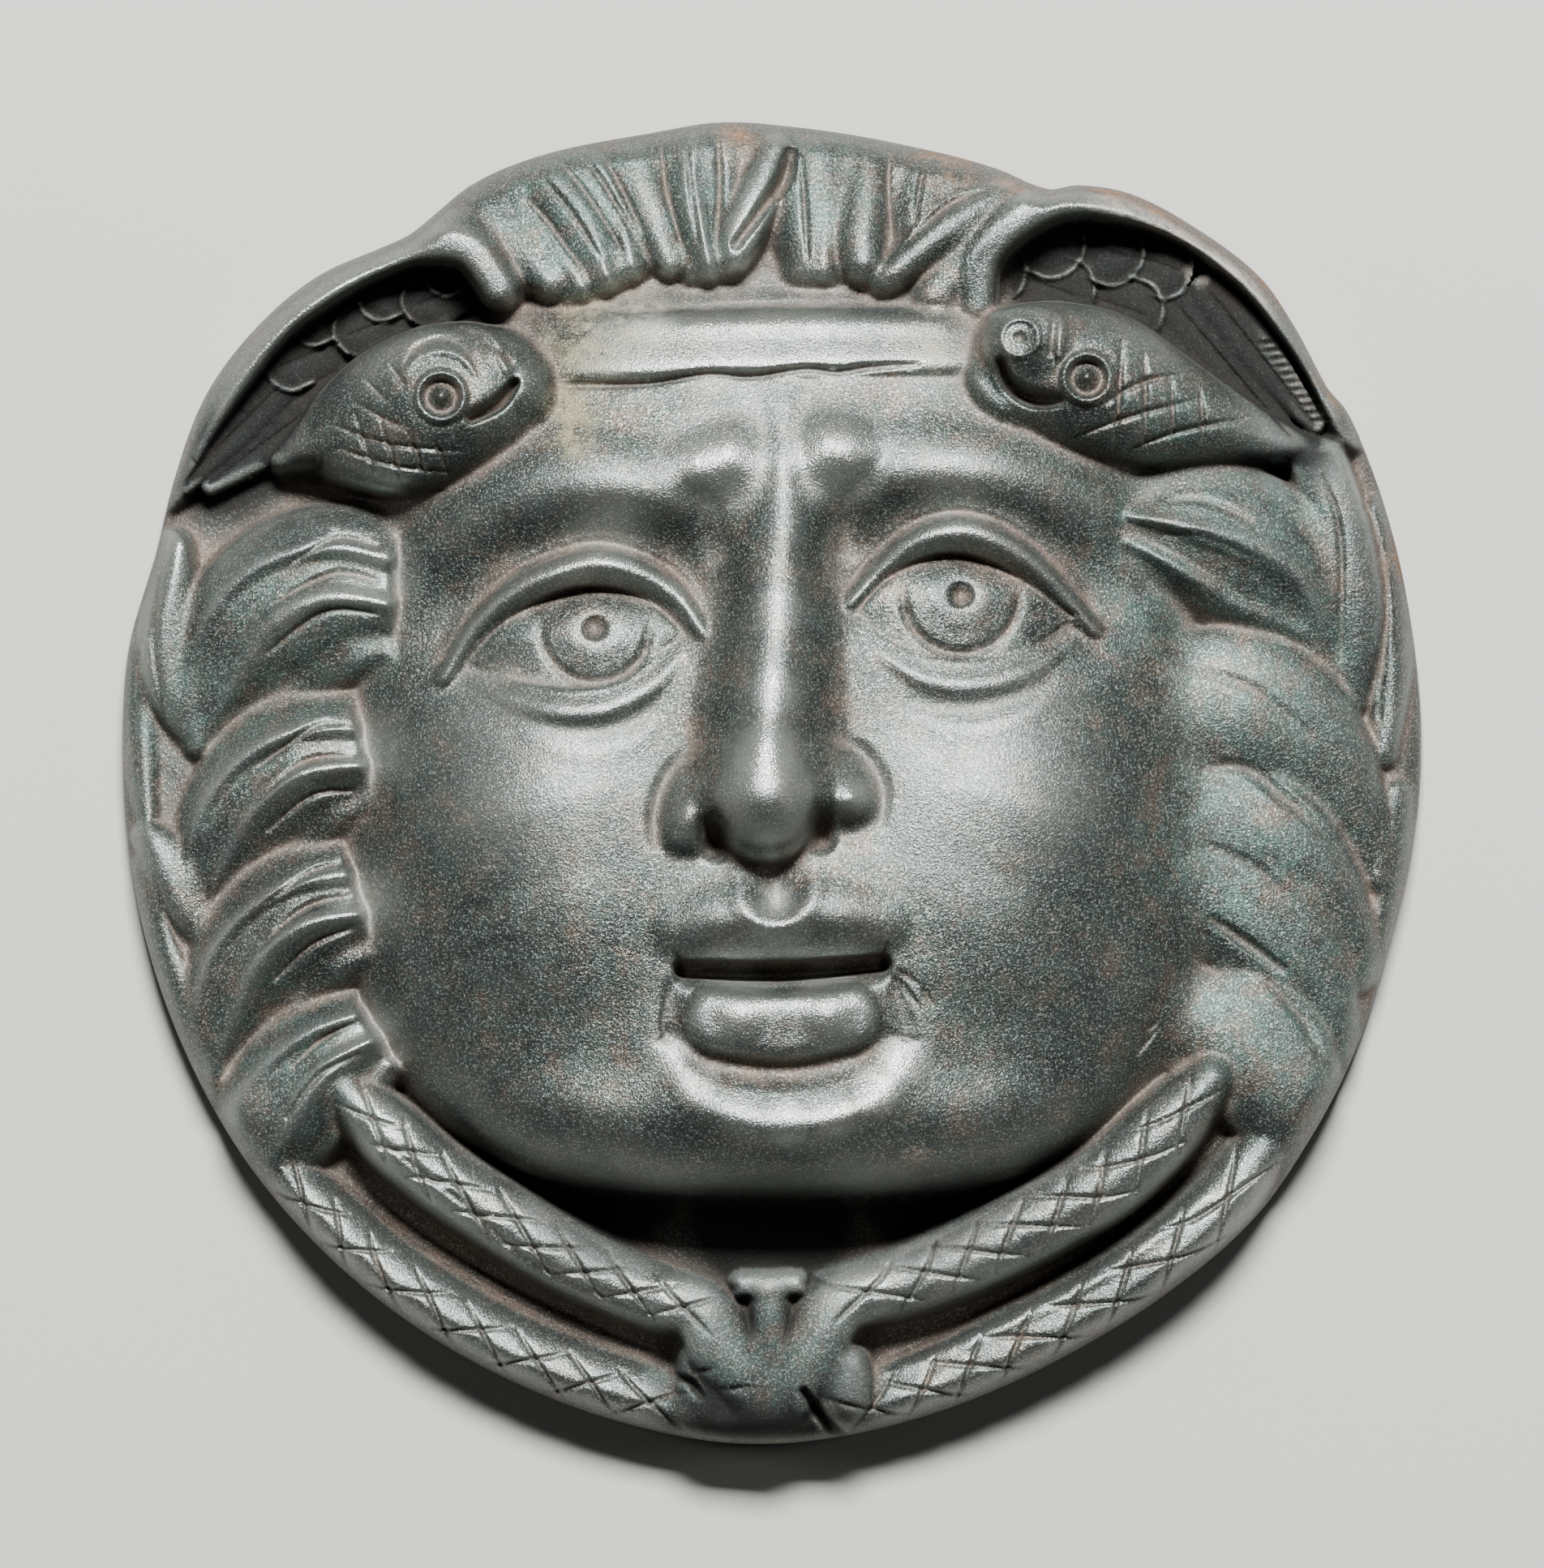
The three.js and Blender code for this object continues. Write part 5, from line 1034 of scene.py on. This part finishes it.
# How the marks are read off the carving. Reaches, depths and heights are in shares
FINE_REACH = 1.3
BROAD_REACH = 5
GROOVE = SimpleNamespace(fine=0.9, broad=5, broad_most=0.6, off_front=0.35)
CREST = SimpleNamespace(broad=3.5, fine=0.7, fine_most=0.5, share=0.6)
PAINTED_SHEEN_SHARE = 0.45
PAINTED_DARKER_SHARE = 0.8
FRONT_START = 1.5  # a place counts less as the front the further it lies below the carving
FRONT_FALL = 4
PAINTED_SHADE_TOP = 26
PAINTED_SHADE_FADE = 4
PAINTED_SHADE_GAIN = 1.7
RIM = SimpleNamespace(least=0.25, span=0.4, bare=0.55)  # thin ridges that the painted shade leaves half bare


def spots(x, y, places):
    """How far each place lies in any of some spots, 1 in the middle and 0 outside."""
    total = np.zeros_like(x)
    for px, py, radius in places:
        total = np.maximum(total, np.clip(SPOT_END - np.hypot(x - px, y - py) / radius, 0, 1))
    return total


def mark_surface(mesh, relief):
    """Keeps on the mesh how deep each place lies in a groove, its wear and stains, and its painted
    highlights and shade.
    """
    points = np.empty(len(mesh.vertices) * 3)
    mesh.vertices.foreach_get("co", points)
    x, y, z = points.reshape(-1, 3).T / SHARE
    fine = blurred(relief.z, FINE_REACH / relief.step) - relief.z
    broad = blurred(relief.z, BROAD_REACH / relief.step) - relief.z

    def read(values):
        return read_raster(values, RASTER_HALF, x, y)

    # The share of each place that counts as the front: 0 down the wall and behind
    front = np.clip(FRONT_START - (read(relief.z) - z) / FRONT_FALL, 0, 1)
    low = np.clip(broad / GROOVE.broad, 0, GROOVE.broad_most)
    groove = read(np.clip(fine / GROOVE.fine, 0, 1) + low)
    groove = GROOVE.off_front + (np.clip(groove, 0, 1) - GROOVE.off_front) * front
    set_numbers(mesh, "groove", groove)
    sharp = np.clip(-fine / CREST.fine, 0, CREST.fine_most)
    crest = read(np.clip(-broad / CREST.broad, 0, 1) + sharp)
    # Painted highlights and a softer painted sheen, added to the wear on the crests
    painted_highlight = np.maximum(spots(x, y, PAINTED_HIGHLIGHTS), PAINTED_SHEEN_SHARE * spots(x, y, PAINTED_SHEEN))
    wear_and_highlight = np.clip(CREST.share * crest + painted_highlight, 0, 1) * (1 - PAINTED_DARKER_SHARE * spots(x, y, PAINTED_DARKER_PLACES))
    set_numbers(mesh, "crest", wear_and_highlight * front)
    set_numbers(mesh, "verdigris", spots(x, y, VERDIGRIS))
    set_numbers(mesh, "earth", spots(x, y, EARTH))
    set_numbers(mesh, "rust", spots(x, y, RUST))
    # Painted shade: black laid in low places where shadow falls, left half off thin ridges
    deep = read(np.clip((PAINTED_SHADE_TOP - relief.z) / PAINTED_SHADE_FADE, 0, 1))
    rim = read(np.clip((-fine - RIM.least) / RIM.span, 0, 1))
    soot = np.clip(PAINTED_SHADE_GAIN * spots(x, y, PAINTED_SHADE_PLACES), 0, 1) * deep * (1 - RIM.bare * rim) * front
    set_numbers(mesh, "soot", soot)


def applied(obj, name):
    """Turns an object's modifiers into plain mesh."""
    depsgraph = bpy.context.evaluated_depsgraph_get()
    mesh = bpy.data.meshes.new_from_object(obj.evaluated_get(depsgraph))
    old = obj.data
    obj.modifiers.clear()
    obj.data = mesh
    bpy.data.meshes.remove(old)
    mesh.name = name


BOX_MARGIN = 1e-5  # metres


def fit_frame(mesh):
    """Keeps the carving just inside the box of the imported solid."""
    points = np.empty(len(mesh.vertices) * 3)
    mesh.vertices.foreach_get("co", points)
    points = points.reshape(-1, 3)
    low, high = np.array(FRAME_BOX)
    scale = (high[2] - BOX_MARGIN) / points[:, 2].max()
    points[:, 2] *= min(scale, 1)
    points[:, :2] = np.clip(points[:, :2], low[:2] + BOX_MARGIN, high[:2] - BOX_MARGIN)
    points[:, 2] = np.maximum(points[:, 2], low[2])
    mesh.vertices.foreach_set("co", points.ravel())
    mesh.update()


# Materials

# Widths of the grains of each pattern in the skin, in millimetres
CLOUDS = 9.0
MOTTLE = 1.6
CRYSTALS = 0.17
BROWN_SPECKS = 3.1
RUST_SPECKS = 2.4
SHALLOW_PITS = 0.8

# What lies on the bronze, and the painted glints, highlights and shade, as an sRGB colour and the
# share that it covers where it is thickest
DARK_MOTTLE = SimpleNamespace(colour="272c2a", share=0.6)
BROWN = SimpleNamespace(colour="665448", share=0.5)
DARK_PITS = SimpleNamespace(colour="151817", share=0.7)
PAINTED_GLINT = SimpleNamespace(colour="bcc4bf", share=0.5)
OCHRE = SimpleNamespace(colour="8d8260", share=0.6)
RUST_CRUST = SimpleNamespace(colour="6e4a2e", share=0.6)
BARE_METAL_AND_HIGHLIGHT = SimpleNamespace(colour="9b9f9a", share=0.6)
PAINTED_SHADE_BLACK = SimpleNamespace(colour="060706", share=0.94)
GREEN_SHARE = 0.55
GREEN_ALL_OVER = 0.36  # verdigris away from its own places
STAIN_SHARE = 0.55

CRYSTAL_HEIGHT = 0.65  # share of the bump that is crystals, and the rest is pits
BUMP_DEPTH = 0.00013  # metres
METAL_BARE = 0.86
METAL_UNDER_CRUST = 0.1
ROUGH_VERDIGRIS = 0.56
ROUGH_WORN = 0.27
ROUGH_CRUST = 0.9


def rgba(colour):
    """An sRGB hex colour such as '4a5450' as linear light."""
    channels = [int(colour[i:i + 2], 16) / 255 for i in (0, 2, 4)]
    return (*[c / 12.92 if c <= 0.04045 else ((c + 0.055) / 1.055) ** 2.4 for c in channels], 1.0)


# Kinds of nodes: their own settings, their inputs in the order that values are given in, and the
# output that is read
Kind = namedtuple("Kind", "name settings inputs output", defaults=({}, (), 0))
MULTIPLY = Kind("ShaderNodeMath", {"operation": "MULTIPLY"}, (0, 1))
DIVIDE = Kind("ShaderNodeMath", {"operation": "DIVIDE"}, (0, 1))
SUBTRACT = Kind("ShaderNodeMath", {"operation": "SUBTRACT"}, (0, 1))
ADD = Kind("ShaderNodeMath", {"operation": "ADD", "use_clamp": True}, (0, 1))
SPREAD = Kind("ShaderNodeMapRange", {"clamp": True}, (0, 1, 2, 3, 4))
MIX_VALUES = Kind("ShaderNodeMix", {"data_type": "FLOAT"}, (0, 2, 3))
MIX_COLOURS = Kind("ShaderNodeMix", {"data_type": "RGBA"}, (0, 6, 7), 2)
NOISE = Kind("ShaderNodeTexNoise", {}, ("Vector", "Scale", "Detail", "Roughness"), "Fac")
NOISE_4D = Kind("ShaderNodeTexNoise", {"noise_dimensions": "4D"})
VECTOR_SCALE = Kind("ShaderNodeVectorMath", {"operation": "SCALE"}, (0, "Scale"))


def add_node(tree, kind, *values, **named):
    """Adds one node and gives its output. Values and sockets go to the kind's inputs in order, or
    to an input by its name."""
    node = tree.nodes.new(kind.name)
    for name, value in kind.settings.items():
        setattr(node, name, value)
    given = list(zip(kind.inputs, values))
    given += [(name.replace("_", " "), value) for name, value in named.items()]
    for key, value in given:
        if isinstance(value, bpy.types.NodeSocket):
            tree.links.new(value, node.inputs[key])
        else:
            node.inputs[key].default_value = value
    return node.outputs[kind.output] if node.outputs else None


def patinated_bronze(settings):
    """Cast tin bronze under a dark grey-green patina. The metal shows as a dull sheen all over, and
    a bright one where crests are worn and where highlights are painted on. Fine crystals carry
    painted glints, and painted shade darkens the hollows of the wings and the places under the chin
    and the snakes' heads."""
    material = bpy.data.materials.new("patinated cast bronze")
    material.use_nodes = True
    tree = material.node_tree
    tree.nodes.clear()
    add = partial(add_node, tree)
    place = add(Kind("ShaderNodeTexCoord", output="Object"))
    marks = {}
    for name in ("groove", "crest", "verdigris", "earth", "rust", "soot"):
        marks[name] = add(Kind("ShaderNodeAttribute", {"attribute_name": name}, output="Fac"))

    clouds = add(NOISE, place, 1000 / CLOUDS, 4.0, 0.6)
    mottle = add(NOISE, place, 1000 / MOTTLE, 5.0, 0.75)
    crystals = add(NOISE, place, 1000 / CRYSTALS, 2.0, 0.8)
    colour = add(MIX_COLOURS, add(SPREAD, clouds, 0.35, 0.65), rgba(settings.dark_patina),
                 rgba(settings.pale_patina))
    dark = add(SPREAD, mottle, 0.5, 0.75, 0.0, DARK_MOTTLE.share)
    colour = add(MIX_COLOURS, dark, colour, rgba(DARK_MOTTLE.colour))
    green = add(ADD, marks["verdigris"], GREEN_ALL_OVER)
    green = add(MULTIPLY, add(SPREAD, mottle, 0.4, 0.6), green)
    colour = add(MIX_COLOURS, add(MULTIPLY, green, GREEN_SHARE), colour, rgba(settings.verdigris))

    def covered(share, coat):
        return add(MIX_COLOURS, add(MULTIPLY, share, coat.share), colour, rgba(coat.colour))

    specks = add(NOISE, place, 1000 / BROWN_SPECKS, 5.0, 0.75)
    colour = covered(add(SPREAD, specks, 0.5, 0.66), BROWN)
    pits = add(SPREAD, crystals, 0.3, 0.5, DARK_PITS.share, 0.0)
    colour = add(MIX_COLOURS, pits, colour, rgba(DARK_PITS.colour))
    # Painted glints: pale specks on the crystals
    colour = covered(add(SPREAD, crystals, 0.55, 0.68), PAINTED_GLINT)
    stain = add(MULTIPLY, marks["groove"], add(SPREAD, mottle, 0.3, 0.6, 0.35, 1.0))
    colour = add(MIX_COLOURS, add(MULTIPLY, stain, STAIN_SHARE), colour,
                 rgba(settings.recess_earth))
    earth = add(MULTIPLY, marks["earth"], add(SPREAD, mottle, 0.34, 0.66))
    colour = covered(earth, OCHRE)
    specks = add(NOISE, place, 1000 / RUST_SPECKS, 5.0, 0.7)
    rust = add(MULTIPLY, marks["rust"], add(SPREAD, specks, 0.42, 0.6))
    colour = covered(rust, RUST_CRUST)
    # Bare metal where crests are worn, and painted highlights and sheen at the given places
    wear_and_highlight = add(MULTIPLY, marks["crest"], add(SPREAD, clouds, 0.3, 0.6, 0.5, 1.0))
    colour = covered(wear_and_highlight, BARE_METAL_AND_HIGHLIGHT)
    # Painted shade: near-black laid where shadow falls
    colour = covered(marks["soot"], PAINTED_SHADE_BLACK)

    # Crusts and the painted shade hide the metal and are rough
    crust = add(ADD, add(MULTIPLY, earth, 0.6), rust)
    crust = add(ADD, add(ADD, crust, add(MULTIPLY, stain, 0.6)), marks["soot"])
    metal = add(MIX_VALUES, crust, METAL_BARE, METAL_UNDER_CRUST)
    skin = add(SPREAD, mottle, 0.3, 0.7, 0.34, 0.46)
    skin = add(MIX_VALUES, marks["verdigris"], skin, ROUGH_VERDIGRIS)
    roughness = add(MIX_VALUES, wear_and_highlight, skin, ROUGH_WORN)
    roughness = add(MIX_VALUES, crust, roughness, ROUGH_CRUST)

    # Casting skin: fine crystals over shallow pits
    pits = add(NOISE, place, 1000 / SHALLOW_PITS, 3.0, 0.6)
    height = add(ADD, add(MULTIPLY, crystals, CRYSTAL_HEIGHT),
                 add(MULTIPLY, pits, 1 - CRYSTAL_HEIGHT))
    bump = add(Kind("ShaderNodeBump"), Strength=0.9, Distance=BUMP_DEPTH, Height=height)
    shader = add(Kind("ShaderNodeBsdfPrincipled"), Base_Color=colour, Metallic=metal,
                 Roughness=roughness, Specular_IOR_Level=0.2, Normal=bump)
    add(Kind("ShaderNodeOutputMaterial"), Surface=shader)
    return material


def matt_paper(settings):
    """Pale matt photographic paper, with no sheen, so that it only catches soft shadows."""
    material = bpy.data.materials.new("matt background paper")
    material.use_nodes = True
    shader = material.node_tree.nodes["Principled BSDF"]
    shader.inputs["Base Color"].default_value = rgba(settings.floor_colour)
    shader.inputs["Roughness"].default_value = 0.95
    shader.inputs["Specular IOR Level"].default_value = 0.1
    return material


# Casting skin, as geometry nodes
def grain_tree(material):
    """Pushes the surface in and out by a fine noise, as the sand or clay of the mould left it."""
    tree = bpy.data.node_groups.new("Casting grain", "GeometryNodeTree")
    sides = tree.interface
    sides.new_socket("Geometry", in_out="INPUT", socket_type="NodeSocketGeometry")
    for name in ("Depth", "Grain", "Seed"):
        sides.new_socket(name, in_out="INPUT", socket_type="NodeSocketFloat")
    sides.new_socket("Geometry", in_out="OUTPUT", socket_type="NodeSocketGeometry")
    given = tree.nodes.new("NodeGroupInput").outputs
    add = partial(add_node, tree)
    place = add(Kind("GeometryNodeInputPosition"))
    frequency = add(DIVIDE, 1.0, given["Grain"])
    pattern = add(NOISE_4D, Vector=place, W=given["Seed"], Scale=frequency, Detail=3.0,
                  Roughness=0.6)
    depth = add(MULTIPLY, add(SUBTRACT, pattern, 0.5), given["Depth"])
    offset = add(VECTOR_SCALE, add(Kind("GeometryNodeInputNormal")), depth)
    moved = add(Kind("GeometryNodeSetPosition"), Geometry=given["Geometry"], Offset=offset)
    real = add(Kind("GeometryNodeRealizeInstances"), Geometry=moved)
    dressed = add(Kind("GeometryNodeSetMaterial"), Geometry=real, Material=material)
    add(Kind("NodeGroupOutput", inputs=(0,)), dressed)
    return tree


def add_grain(obj, material, depth, grain, seed):
    tree = grain_tree(material)
    modifier = obj.modifiers.new("Casting grain", "NODES")
    modifier.node_group = tree
    values = {"Depth": depth, "Grain": grain, "Seed": seed}
    for item in tree.interface.items_tree:
        if item.in_out == "INPUT" and item.name in values:
            modifier[item.identifier] = values[item.name]


GRAIN_SEED = 7.0


def build_mask(settings):
    """Carves the mask, presses it into a mesh and dresses it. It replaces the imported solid."""
    relief = carve_mask(settings.raster_count)
    points, faces = mask_surface(relief, settings.cells)
    mesh = bpy.data.meshes.new("gorgon_mask_relief")
    mesh.from_pydata((points * SHARE).tolist(), [], faces)
    if mesh.validate():
        raise RuntimeError("the faces of the mask aren't sound")
    obj = bpy.data.objects.new("gorgon_mask_bronze", mesh)
    bpy.context.scene.collection.objects.link(obj)
    material = patinated_bronze(settings)
    mesh.materials.append(material)
    add_grain(obj, material, settings.grain_depth, settings.grain_size, GRAIN_SEED)
    triangles = sum(len(face) - 2 for face in faces)
    thin = obj.modifiers.new("Fewer triangles", "DECIMATE")
    thin.ratio = min(settings.most_triangles / triangles, 1)
    applied(obj, "gorgon_mask_relief")
    fit_frame(obj.data)
    mark_surface(obj.data, relief)
    obj.data.polygons.foreach_set("use_smooth", [True] * len(obj.data.polygons))
    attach(obj, "root")
    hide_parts("gorgon_mask")
    return obj


# Stage
FRAME_WIDTH = 0.10866  # metres across the picture, at the height of the mask's edge
LENS_MM = 300.0
SENSOR_MM = 36.0
FLOOR_HALF = 0.9
FLOOR_LEVEL = -0.0001  # a hair under the rim, so that the two never share a plane
LAMP_AIM = (0, 0, 0.01)
KEY_LAMP = dict(place=(0.03, 0.46, 0.78), size=(0.26, 0.16))
LEFT_LAMP = dict(place=(-0.75, 0.15, 0.4), size=(0.2, 0.5))
RIGHT_LAMP = dict(place=(0.75, 0.1, 0.4), size=(0.2, 0.5))
ROOM_COLOUR = "8f9496"


def add_floor(settings):
    corners = [(-1, -1), (1, -1), (1, 1), (-1, 1)]
    mesh = bpy.data.meshes.new("floor")
    mesh.from_pydata([(x * FLOOR_HALF, y * FLOOR_HALF, FLOOR_LEVEL) for x, y in corners], [],
                     [(0, 1, 2, 3)])
    floor = bpy.data.objects.new("floor", mesh)
    bpy.context.scene.collection.objects.link(floor)
    mesh.materials.append(matt_paper(settings))


def add_softbox(name, power, place, size):
    """A rectangular lamp that looks at the mask."""
    light = bpy.data.lights.new(name, "AREA")
    light.shape = "RECTANGLE"
    light.size, light.size_y = size
    light.energy = power
    obj = bpy.data.objects.new(name, light)
    obj.location = place
    obj.rotation_euler = (Vector(LAMP_AIM) - Vector(place)).to_track_quat("-Z", "Y").to_euler()
    bpy.context.scene.collection.objects.link(obj)


def add_camera():
    camera = bpy.data.cameras.new("camera")
    camera.sensor_width = SENSOR_MM
    camera.lens = LENS_MM
    camera.clip_end = 10
    obj = bpy.data.objects.new("camera", camera)
    obj.location = (0, 0, FRAME_WIDTH * LENS_MM / SENSOR_MM + EDGE_HEIGHT * SHARE)
    bpy.context.scene.collection.objects.link(obj)
    bpy.context.scene.camera = obj


def build_stage(settings):
    add_floor(settings)
    add_softbox("key light from the head", settings.key_power, **KEY_LAMP)
    add_softbox("left fill", settings.fill_power, **LEFT_LAMP)
    add_softbox("right fill", settings.fill_power, **RIGHT_LAMP)
    world = bpy.data.worlds.new("studio")
    world.use_nodes = True
    backdrop = world.node_tree.nodes["Background"]
    backdrop.inputs["Color"].default_value = rgba(ROOM_COLOUR)
    backdrop.inputs["Strength"].default_value = settings.room_light
    bpy.context.scene.world = world
    add_camera()


# Add-on
class MaskSettings(bpy.types.PropertyGroup):
    raster_count: bpy.props.IntProperty(
        name="Carving steps", description="Steps of the raster of heights across the mask",
        default=1300, min=300)
    cells: bpy.props.IntProperty(
        name="Cells", description="Mesh cells across the mask before thinning, a multiple of eight",
        default=592, min=96)
    most_triangles: bpy.props.IntProperty(
        name="Triangles", description="Triangles left after thinning", default=186000, min=10000)
    grain_depth: bpy.props.FloatProperty(
        name="Grain depth", description="How far the casting skin goes in and out",
        default=0.00003, subtype="DISTANCE", unit="LENGTH")
    grain_size: bpy.props.FloatProperty(
        name="Grain size", description="Width of the grains of the casting skin",
        default=0.0008, subtype="DISTANCE", unit="LENGTH")
    dark_patina: bpy.props.StringProperty(
        name="Dark patina", description="sRGB hex colour", default="2f3230")
    pale_patina: bpy.props.StringProperty(
        name="Pale patina", description="sRGB hex colour", default="444844")
    verdigris: bpy.props.StringProperty(
        name="Verdigris", description="sRGB hex colour", default="465f59")
    recess_earth: bpy.props.StringProperty(
        name="Earth in grooves", description="sRGB hex colour", default="64534a")
    floor_colour: bpy.props.StringProperty(
        name="Floor", description="sRGB hex colour", default="8e8d8a")
    key_power: bpy.props.FloatProperty(
        name="Key light", description="Power of the lamp above the head", default=50.0,
        unit="POWER")
    fill_power: bpy.props.FloatProperty(
        name="Fill light", description="Power of each side lamp", default=1.3, unit="POWER")
    room_light: bpy.props.FloatProperty(
        name="Room light", description="Strength of the even light all round", default=0.04)


class OBJECT_OT_gorgon_mask(bpy.types.Operator):
    """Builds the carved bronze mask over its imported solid"""

    bl_idname = "object.gorgon_mask"
    bl_label = "Gorgon mask"

    def execute(self, context):
        build_mask(context.scene.gorgon_mask)
        return {"FINISHED"}


class OBJECT_OT_gorgon_stage(bpy.types.Operator):
    """Adds the floor, the lights and the camera"""

    bl_idname = "object.gorgon_stage"
    bl_label = "Floor, lights and camera"

    def execute(self, context):
        build_stage(context.scene.gorgon_mask)
        return {"FINISHED"}


class VIEW3D_PT_gorgon_mask(bpy.types.Panel):
    bl_label = "Gorgon mask"
    bl_space_type = "VIEW_3D"
    bl_region_type = "UI"
    bl_category = "Gorgon mask"

    def draw(self, context):
        for name in MaskSettings.__annotations__:
            self.layout.prop(context.scene.gorgon_mask, name)
        self.layout.operator(OBJECT_OT_gorgon_mask.bl_idname)
        self.layout.operator(OBJECT_OT_gorgon_stage.bl_idname)


CLASSES = (MaskSettings, OBJECT_OT_gorgon_mask, OBJECT_OT_gorgon_stage, VIEW3D_PT_gorgon_mask)


def register():
    for cls in CLASSES:
        bpy.utils.register_class(cls)
    bpy.types.Scene.gorgon_mask = bpy.props.PointerProperty(type=MaskSettings)


def unregister():
    del bpy.types.Scene.gorgon_mask
    for cls in reversed(CLASSES):
        bpy.utils.unregister_class(cls)


def main():
    register()
    bpy.ops.object.gorgon_mask()
    bpy.ops.object.gorgon_stage()


if __name__ == "__main__":
    main()
